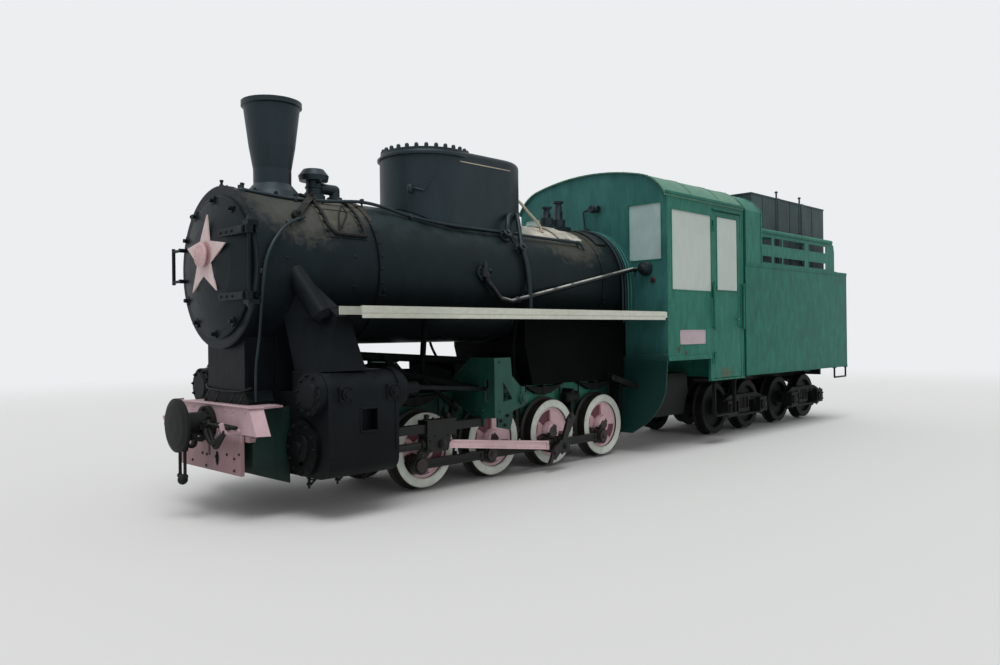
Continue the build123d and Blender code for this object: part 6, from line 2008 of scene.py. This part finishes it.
            cases.strap((face - 0.033, y, 2.265),
                (face - 0.033, y + radius * 0.45, 2.265 + radius * 0.45), 0.006, 0.002, BACK)
            for at in circle((face - 0.0325, y, 2.265), radius * 0.7, range(-30, 240, 30)):
                cases.block(at - Vector((0.001, 0.002, 0.002)), at + Vector((0.001, 0.002, 0.002)),
                    0.0003)
        for _ in dials.sides():
            dials.rod((face - 0.065, 0.33, 1.812), (face - 0.065, 0.33, 1.998), 0.008, 12)
        dials.piece(Paint.DIAL)
        cases.strap((face - 0.08, 0, 1.96), (face - 0.08, 0.26, 1.84), 0.03, 0.012, BACK)
        cases.rod((face - 0.09, 0.255, 1.842), (face - 0.19, 0.255, 1.842), 0.013, 12)
        cases.block((-0.42, -0.72, self.floor), (-0.26, -0.6, 1.03), 0.004)
        cases.rod((-0.34, -0.66, 1.02), (-0.34, -0.66, 1.7), 0.04, 18)
        cases.turned((-0.34, -0.64, 1.76), (0, 1, 0.15),
            [(0.145, 0), (0.155, 0.006), (0.155, 0.016), (0.145, 0.022), (0.137, 0.011)], 36,
            closed=True)
        centre = Vector((-0.34, -0.629, 1.762))
        for arm in circle((0, 0, 0), 0.143, range(0, 180, 45), (X, Z)):
            cases.rod(centre - arm, centre + arm, 0.007, 8)
        cases.rod((-0.34, -0.7, 1.75), (-0.34, -0.61, 1.764), 0.026, 14)
        cases.piece(Paint.IRON)

    def seats(self) -> None:
        """Two wooden seats on brackets and the gaps between the floor planks."""
        seats = Former("cab_seats")
        planks = Former("floor_planks")
        for _ in seats.sides():
            for x in (-0.555, -0.451, -0.347, -0.243):
                seats.block((x, 0.64, 1.43), (x + 0.1, 0.94, 1.458), 0.006)
        for step in range(12):
            planks.block((-1.37, -0.955 + step * 0.16, self.floor),
                (-0.03, -0.801 + step * 0.16, self.floor + 0.01), 0.003)
        seats.piece(Paint.WOOD)
        planks.piece(Paint.WOOD)
        legs = Former("seat_brackets")
        for _ in legs.sides():
            for x in (-0.51, -0.18):
                legs.strap((x, 0.955, 1.15), (x, 0.69, 1.42), 0.03, 0.008, X)
                legs.strap((x, 0.955, 1.42), (x, 0.66, 1.42), 0.024, 0.008, X)
        legs.piece(Paint.IRON)


@dataclass
class Tender:
    """Trim of the tank, bunker, rails and hood."""

    front: float = -1.475
    back: float = -4.4
    top: float = 2.041
    low: float = 0.736
    rail_y: float = 0.94

    def build(self) -> None:
        """Makes the tender's pieces."""
        self.tank()
        self.bunker()
        self.rails()
        self.hood()
        self.rear()
        self.underframe()

    def tank(self) -> None:
        """Seams, rivets and edge strips of the tank's sheets."""
        tank = Former("tank_seams")
        for _ in tank.sides():
            tank.block((self.back, 0.983, self.low), (self.front, 0.9885, self.low + 0.026), 0.003)
            tank.rivets((self.back + 0.03, 0.9885, self.low + 0.013), (0.0715, 0, 0), 41, Y, 0.0055)
            tank.rivets((self.back + 0.03, 0.99, self.top - 0.02), (0.0715, 0, 0), 41, Y, 0.0055)
            tank.block((self.back - 0.004, 0.9, self.low),
                (self.back + 0.002, 0.984, self.top - 0.042), 0.002)
            tank.rivets((self.back - 0.004, 0.94, self.low + 0.05), (0, 0, 0.098), 13, BACK, 0.0065)
        tank.piece(Paint.TENDER, "tender")
        lid = Former("filler_lid")
        lid.block((-4.345, -0.24, self.top), (-4.145, 0.24, self.top + 0.045), 0.008)
        lid.block((-4.352, -0.248, self.top + 0.046), (-4.138, 0.248, self.top + 0.06), 0.006)
        for y in (-0.15, 0.15):
            lid.strap((-4.35, y, self.top + 0.06), (-4.19, y, self.top + 0.06), 0.04, 0.008, Z)
            lid.rod((-4.356, y - 0.03, self.top + 0.056), (-4.356, y + 0.03, self.top + 0.056),
                0.012, 12)
        lid.pipe([(-4.17, -0.05, self.top + 0.06), (-4.17, -0.05, self.top + 0.092),
            (-4.17, 0.05, self.top + 0.092), (-4.17, 0.05, self.top + 0.06)], 0.007, 0.015)
        lid.piece(Paint.TENDER, "tender")

    def bunker(self) -> None:
        """Rim angle, rib bolts and sheet seams of the fuel box."""
        box = Former("bunker_rim")
        x0, x1, half, rim = -4.089, -1.99, 0.8, 2.925
        for _ in box.sides():
            box.block((x0 - 0.007, half, rim - 0.016), (x1 + 0.007, half + 0.007, rim + 0.003),
                0.002)
            for x in (-2.706, -2.666, -3.391, -3.351):
                box.rivets((x, half + 0.025, 2.13), (0, 0, 0.09), 9, Y, 0.007)
            for x in (-2.3, -3.05, -3.73):
                box.block((x - 0.02, half, self.top + 0.004), (x + 0.02, half + 0.006, rim - 0.018),
                    0.002)
        for x, way in ((x0, -1), (x1, 1)):
            box.block((x, -half, rim - 0.016), (x + way * 0.007, half, rim + 0.003), 0.002)
            for y in (-0.4, 0, 0.4):
                box.block((x, y - 0.02, self.top + 0.004), (x + way * 0.006, y + 0.02, rim - 0.018),
                    0.002)
        box.piece(Paint.BUNKER, "tender")

    def rails(self) -> None:
        """Edge beads round the slots, stay bolts and the thin upright rods."""
        rods = Former("bunker_rods")
        knob = [(0.011, 0), (0.02, 0.006), (0.02, 0.018), (0.01, 0.026), (0, 0.028)]
        for _ in rods.sides():
            for x in (-2.53, -3.189):
                rods.rod((x, 0.862, self.top), (x, 0.862, 2.972), 0.011, 10)
                rods.turned((x, 0.862, 2.965), Z, knob, 12)
        rods.piece(Paint.BUNKER, "tender")
        rails = Former("coal_rail_trim")
        for _ in rails.sides():
            for z in (2.17, 2.268, 2.398):
                rails.rivets((-1.95, self.rail_y, z), (-0.132, 0, 0), 16, Y, 0.006)
            rails.block((-4.08, self.rail_y, self.top),
                (-1.89, self.rail_y + 0.04, self.top + 0.008), 0.002)
        rails.piece(Paint.GREEN, "tender")

    def hood(self) -> None:
        """Arched strips and rivets on the hood behind the cab."""
        hood = Former("hood_strips")
        arched_strip(hood, (-1.5, -1.478), (-0.0045, 0.0015), 2.045)
        arched_strip(hood, (-1.884, -1.858), (-0.0045, 0.0015), 2.045)
        for x in (-1.489, -1.871):
            for _ in hood.sides():
                hood.rivets((x, 0.9915, 2.08), (0, 0, 0.066), 9, Y, 0.006)
        hood.piece(Paint.GREEN, "tender")

    def rear(self) -> None:
        """Ladder, corner rails and lamp bracket on the tender's back."""
        rear = Former("tender_rear_ladder")
        for y in (0.36, 0.64):
            rear.rod((self.back - 0.045, y, 0.8), (self.back - 0.045, y, 2.11), 0.011, 12)
            rear.rod((self.back - 0.045, y, 2.1), (self.back + 0.06, y, 2.1), 0.011, 12)
            for z in (0.85, 1.9):
                rear.rod((self.back, y, z), (self.back - 0.045, y, z), 0.009, 10)
        for step in range(5):
            z = 0.9 + step * 0.24
            rear.rod((self.back - 0.045, 0.35, z), (self.back - 0.045, 0.65, z), 0.01, 10)
        for _ in rear.sides():
            rear.rod((self.back - 0.04, 0.91, 1.15), (self.back - 0.04, 0.91, 1.75), 0.011, 12)
            for z in (1.17, 1.73):
                rear.rod((self.back, 0.91, z), (self.back - 0.042, 0.91, z), 0.009, 10)
        rear.block((self.back - 0.012, -0.07, 1.64), (self.back, 0.07, 1.76), 0.003)
        rear.block((self.back - 0.03, -0.03, 1.64), (self.back - 0.01, 0.03, 1.652), 0.003)
        rear.piece(Paint.IRON, "tender")

    def underframe(self) -> None:
        """Rivets, brake cylinder and pipes below the tank, and the stirrups' bolts."""
        under = Former("tender_underframe")
        for _ in under.sides():
            for z in (0.69, 0.625):
                under.rivets((-4.33, 0.28, z), (0.118, 0, 0), 24, Y, 0.008)
            for x in (-4.38, -4):
                for step in (-0.018, 0.018):
                    under.nut((x + step, 0.965, 0.726), DOWN, 0.008, 0.008)
            under.pipe([(-1.56, 0.42, 0.7), (-2.9, 0.42, 0.7), (-3, 0.5, 0.69), (-4.38, 0.5, 0.69)],
                0.014, 0.06)
        under.turned((-2.78, 0, 0.48), BACK, [(0.09, 0), (0.1, 0.014), (0.1, 0.24), (0.09, 0.254),
            (0, 0.256)], 26)
        under.block((-3.01, -0.06, 0.56), (-2.8, 0.06, 0.625), 0.006)
        under.rod((-2.78, 0, 0.48), (-2.62, 0, 0.48), 0.018, 12)
        for y in (-0.52, -0.35, -0.23, 0.23, 0.35, 0.52):
            under.rivet((self.back - 0.04, y, 0.72), BACK, 0.01)
        under.piece(Paint.IRON, "tender")


@dataclass
class Bogies:
    """Lids' bolts, tie bars, rivets and brake shoes of both bogies."""

    places: tuple[float, float] = (-2.05, -3.74)
    half_base: float = 0.4

    def build(self) -> None:
        """Makes the pieces of each bogie."""
        for number, x in enumerate(self.places, 1):
            self.frame_fittings(number, x)
            self.shoes(number, x)

    def frame_fittings(self, number: int, x: float) -> None:
        """Bolts, tie bars and rivets on one bogie.

        Args:
            number: the bogie's number from the front.
            x: its centre.
        """
        piece = Former(f"bogie_{number}_fittings")
        for _ in piece.sides():
            for a in (x - self.half_base, x + self.half_base):
                for dx in (-0.048, 0.048):
                    for z in (0.288, 0.37):
                        piece.nut((a + dx, 0.716, z), Y, 0.01, 0.009)
                piece.turned((a, 0.716, 0.329), Y, [(0.03, -0.001), (0.03, 0.004), (0.022, 0.008),
                    (0, 0.008)], 18)
                for dx in (-0.07, 0.07):
                    piece.nut((a + dx, 0.67, 0.42), Z, 0.013, 0.012)
                    piece.rod((a + dx, 0.62, 0.2), (a + dx, 0.62, 0.262), 0.01, 8)
                    piece.nut((a + dx, 0.62, 0.215), DOWN, 0.015, 0.013)
            piece.block((x - self.half_base - 0.105, 0.598, 0.215),
                (x + self.half_base + 0.105, 0.64, 0.243), 0.004)
            piece.rivets((x - 0.225, 0.64, 0.462), (0.075, 0, 0), 7, Y, 0.008)
            for a in (x - 0.2, x + 0.2):
                piece.nut((a, 0.64, 0.425), Y, 0.013, 0.012)
        piece.piece(Paint.IRON, f"bogie_{number}")

    def shoes(self, number: int, x: float) -> None:
        """Inner brake shoes, their hangers and the cross beam of one bogie.

        Args:
            number: the bogie's number from the front.
            x: its centre.
        """
        piece = Former(f"bogie_{number}_brakes")
        for way, angles in ((1, (155, 205)), (-1, (-25, 25))):
            axle = x + way * self.half_base
            hang = axle - way * 0.338
            for _ in piece.sides():
                piece.arc((axle, AXLE_Z), (0.308, 0.334), angles, (0.388, 0.452))
                piece.strap((hang, 0.42, 0.33), (hang, 0.42, 0.44), 0.03, 0.012, Y)
            piece.rod((hang, -0.44, 0.3), (hang, 0.44, 0.3), 0.014, 10)
        piece.piece(Paint.IRON, f"bogie_{number}")


@dataclass
class Studio:
    """Pale floor, plain soft light and the camera."""

    floor_r: float = 70.0
    floor_sides: int = 96
    near: float = 9.0
    fade: float = 12.0
    pale: Colour = (236, 238, 240)
    floor: Colour = (206, 207, 206)
    fill: float = 0.58
    sun: float = 1.9
    sun_angle: float = 40.0
    sun_from: Point = (0.25, 0.3, 1.0)
    spot: Point = (7.0628, 5.4381, 1.2496)
    yaw: float = -135.4
    pitch: float = 0.1
    roll: float = -0.7
    lens: float = 28.9
    film: float = 36.0
    reach: float = 400.0

    def build(self) -> None:
        """Sets up the stage."""
        self.ground()
        self.world()
        self.lamps()
        self.camera()

    def ground(self) -> None:
        """A round floor that fades into the background far out."""
        mesh = bmesh.new()
        bmesh.ops.create_circle(mesh, cap_ends=True, segments=self.floor_sides, radius=self.floor_r)
        data = bpy.data.meshes.new("studio_floor")
        mesh.to_mesh(data)
        mesh.free()
        floor = placed_object("studio_floor", data)
        material = bpy.data.materials.new("pale_floor")
        graph = Graph.empty(material)
        place = graph.add("ShaderNodeTexCoord").outputs["Object"]
        near = graph.effect(Effect.SPOT,
            {"Vector": place, "Weights": (1, 1, 0), "Radius": self.near, "Softness": self.fade})
        path = graph.add("ShaderNodeLightPath").outputs
        seen = graph.math("MAXIMUM", path["Is Camera Ray"], path["Is Glossy Ray"])
        far = graph.math("SUBTRACT", 1, near.outputs[0])
        share = graph.math("MULTIPLY", far,
            graph.math("MAXIMUM", seen, path["Is Transmission Ray"]))
        paint = graph.add("ShaderNodeBsdfPrincipled",
            {"Base Color": linear(self.floor), "Roughness": 0.8})
        glow = graph.add("ShaderNodeEmission", {"Color": linear(self.pale)})
        both = graph.add("ShaderNodeMixShader", {0: share, 1: paint.outputs[0], 2: glow.outputs[0]})
        graph.close("ShaderNodeOutputMaterial", both.outputs[0])
        data.materials.append(material)

    def world(self) -> None:
        """Even fill light that shows as a pale background."""
        world = bpy.data.worlds.new("studio_light")
        bpy.context.scene.world = world
        graph = Graph.empty(world)
        path = graph.add("ShaderNodeLightPath").outputs
        seen = graph.math("MAXIMUM", path["Is Camera Ray"], path["Is Glossy Ray"])
        share = graph.math("MAXIMUM", seen, path["Is Transmission Ray"])
        fill = graph.add("ShaderNodeBackground", {0: (1, 1, 1, 1), 1: self.fill})
        shown = graph.add("ShaderNodeBackground", {0: linear(self.pale), 1: 1})
        both = graph.add("ShaderNodeMixShader", {0: share, 1: fill.outputs[0], 2: shown.outputs[0]})
        graph.close("ShaderNodeOutputWorld", both.outputs[0])

    def lamps(self) -> None:
        """One broad lamp from above."""
        lamp = bpy.data.lights.new("broad_lamp", "SUN")
        lamp.energy = self.sun
        lamp.angle = math.radians(self.sun_angle)
        holder = placed_object("broad_lamp", lamp)
        holder.rotation_euler = Vector(self.sun_from).to_track_quat("Z", "Y").to_euler()

    def camera(self) -> None:
        """Camera at the photograph's viewing angle."""
        turn, tilt, bank = math.radians(self.yaw), math.radians(self.pitch), math.radians(self.roll)
        ahead = Vector((math.cos(tilt) * math.cos(turn), math.cos(tilt) * math.sin(turn),
            math.sin(tilt)))
        right = ahead.cross(Vector(Z)).normalized()
        upright = right.cross(ahead)
        across = right * math.cos(bank) + upright * math.sin(bank)
        over = across.cross(ahead)
        lens = bpy.data.cameras.new("photo_camera")
        lens.sensor_fit = "HORIZONTAL"
        lens.sensor_width = self.film
        lens.lens = self.lens
        lens.clip_end = self.reach
        camera = placed_object("photo_camera", lens)
        rows = Matrix((across, over, -ahead)).transposed().to_4x4()
        camera.matrix_world = Matrix.Translation(self.spot) @ rows
        bpy.context.scene.camera = camera


def dress_nodes() -> None:
    """Gives every CAD node its finish."""
    Paint.BLACK.dress("chimney", "dome_casing", "relief_valve", "safety_valves")
    Paint.CYLINDER.dress("cylinders", "steam_pipes", "saddle")
    Paint.PIPE.dress("feed_pipes")
    Paint.SOOT_AND_SHADE.dress("firebox")
    Paint.SMOKEBOX.dress("smokebox", "smokebox_door")
    Paint.BOILER.dress("boiler")
    Paint.RUNNING.dress("running_boards")
    Paint.IRON.dress("axle_boxes", "front_coupler", "rear_coupler", "bogie_1", "bogie_2",
        "tender_frame", "drawbar", "backhead", "cab_steps",
        *(f"bogie_{n}_wheelset_{end}" for n in (1, 2) for end in ("front", "rear")))
    Paint.GREASY.dress("slide_bars", "coupling_rod_left", "coupling_rod_right", "crosshead_left",
        "crosshead_right")
    Paint.GREEN.dress("cab_side_left", "cab_side_right", "cab_door_left", "cab_door_right",
        "cab_back", "coal_rails", "tender_screen", "handrails")
    Paint.TENDER.dress("tender_tank")
    Paint.FRONT_WALL.dress("cab_front", "apron")
    Paint.FRAME.dress("main_frame", "motion_brackets")
    Paint.ROOF.dress("cab_roof")
    Paint.PINK.dress("front_beam")
    Paint.WHEEL.dress(*(f"wheelset_{n}" for n in (1, 2, 3, 4)))
    Paint.RIM.dress(*(f"tyres_{n}" for n in (1, 2, 3, 4)))
    Paint.ROD.dress("connecting_rod_left", "connecting_rod_right")
    Paint.BOARD.dress("window_boards")
    Paint.BUNKER.dress("bunker")
    Paint.WOOD.dress("cab_floor")


def main() -> None:
    """Builds and dresses the whole scene."""
    dress_nodes()
    for part in ASSEMBLIES:
        LOG.info("building %s", type(part).__name__)
        part.build()
    Studio().build()
    scene = bpy.context.scene
    scene.view_settings.view_transform = "Standard"
    bpy.context.view_layer.update()
    bare = sorted(name for name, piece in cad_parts.items()
        if not any(slot.material and slot.material.name in Finish.made
        for slot in piece.material_slots))
    LOG.info("%d finishes, nodes without a finish: %s", len(Finish.made), bare)


ASSEMBLIES = (FrontEnd(), Smokebox(), BoilerTop(), Cylinders(), Motion(), Frame(), Cab(), Tender(),
    Bogies())


if __name__ == "__main__":
    main()
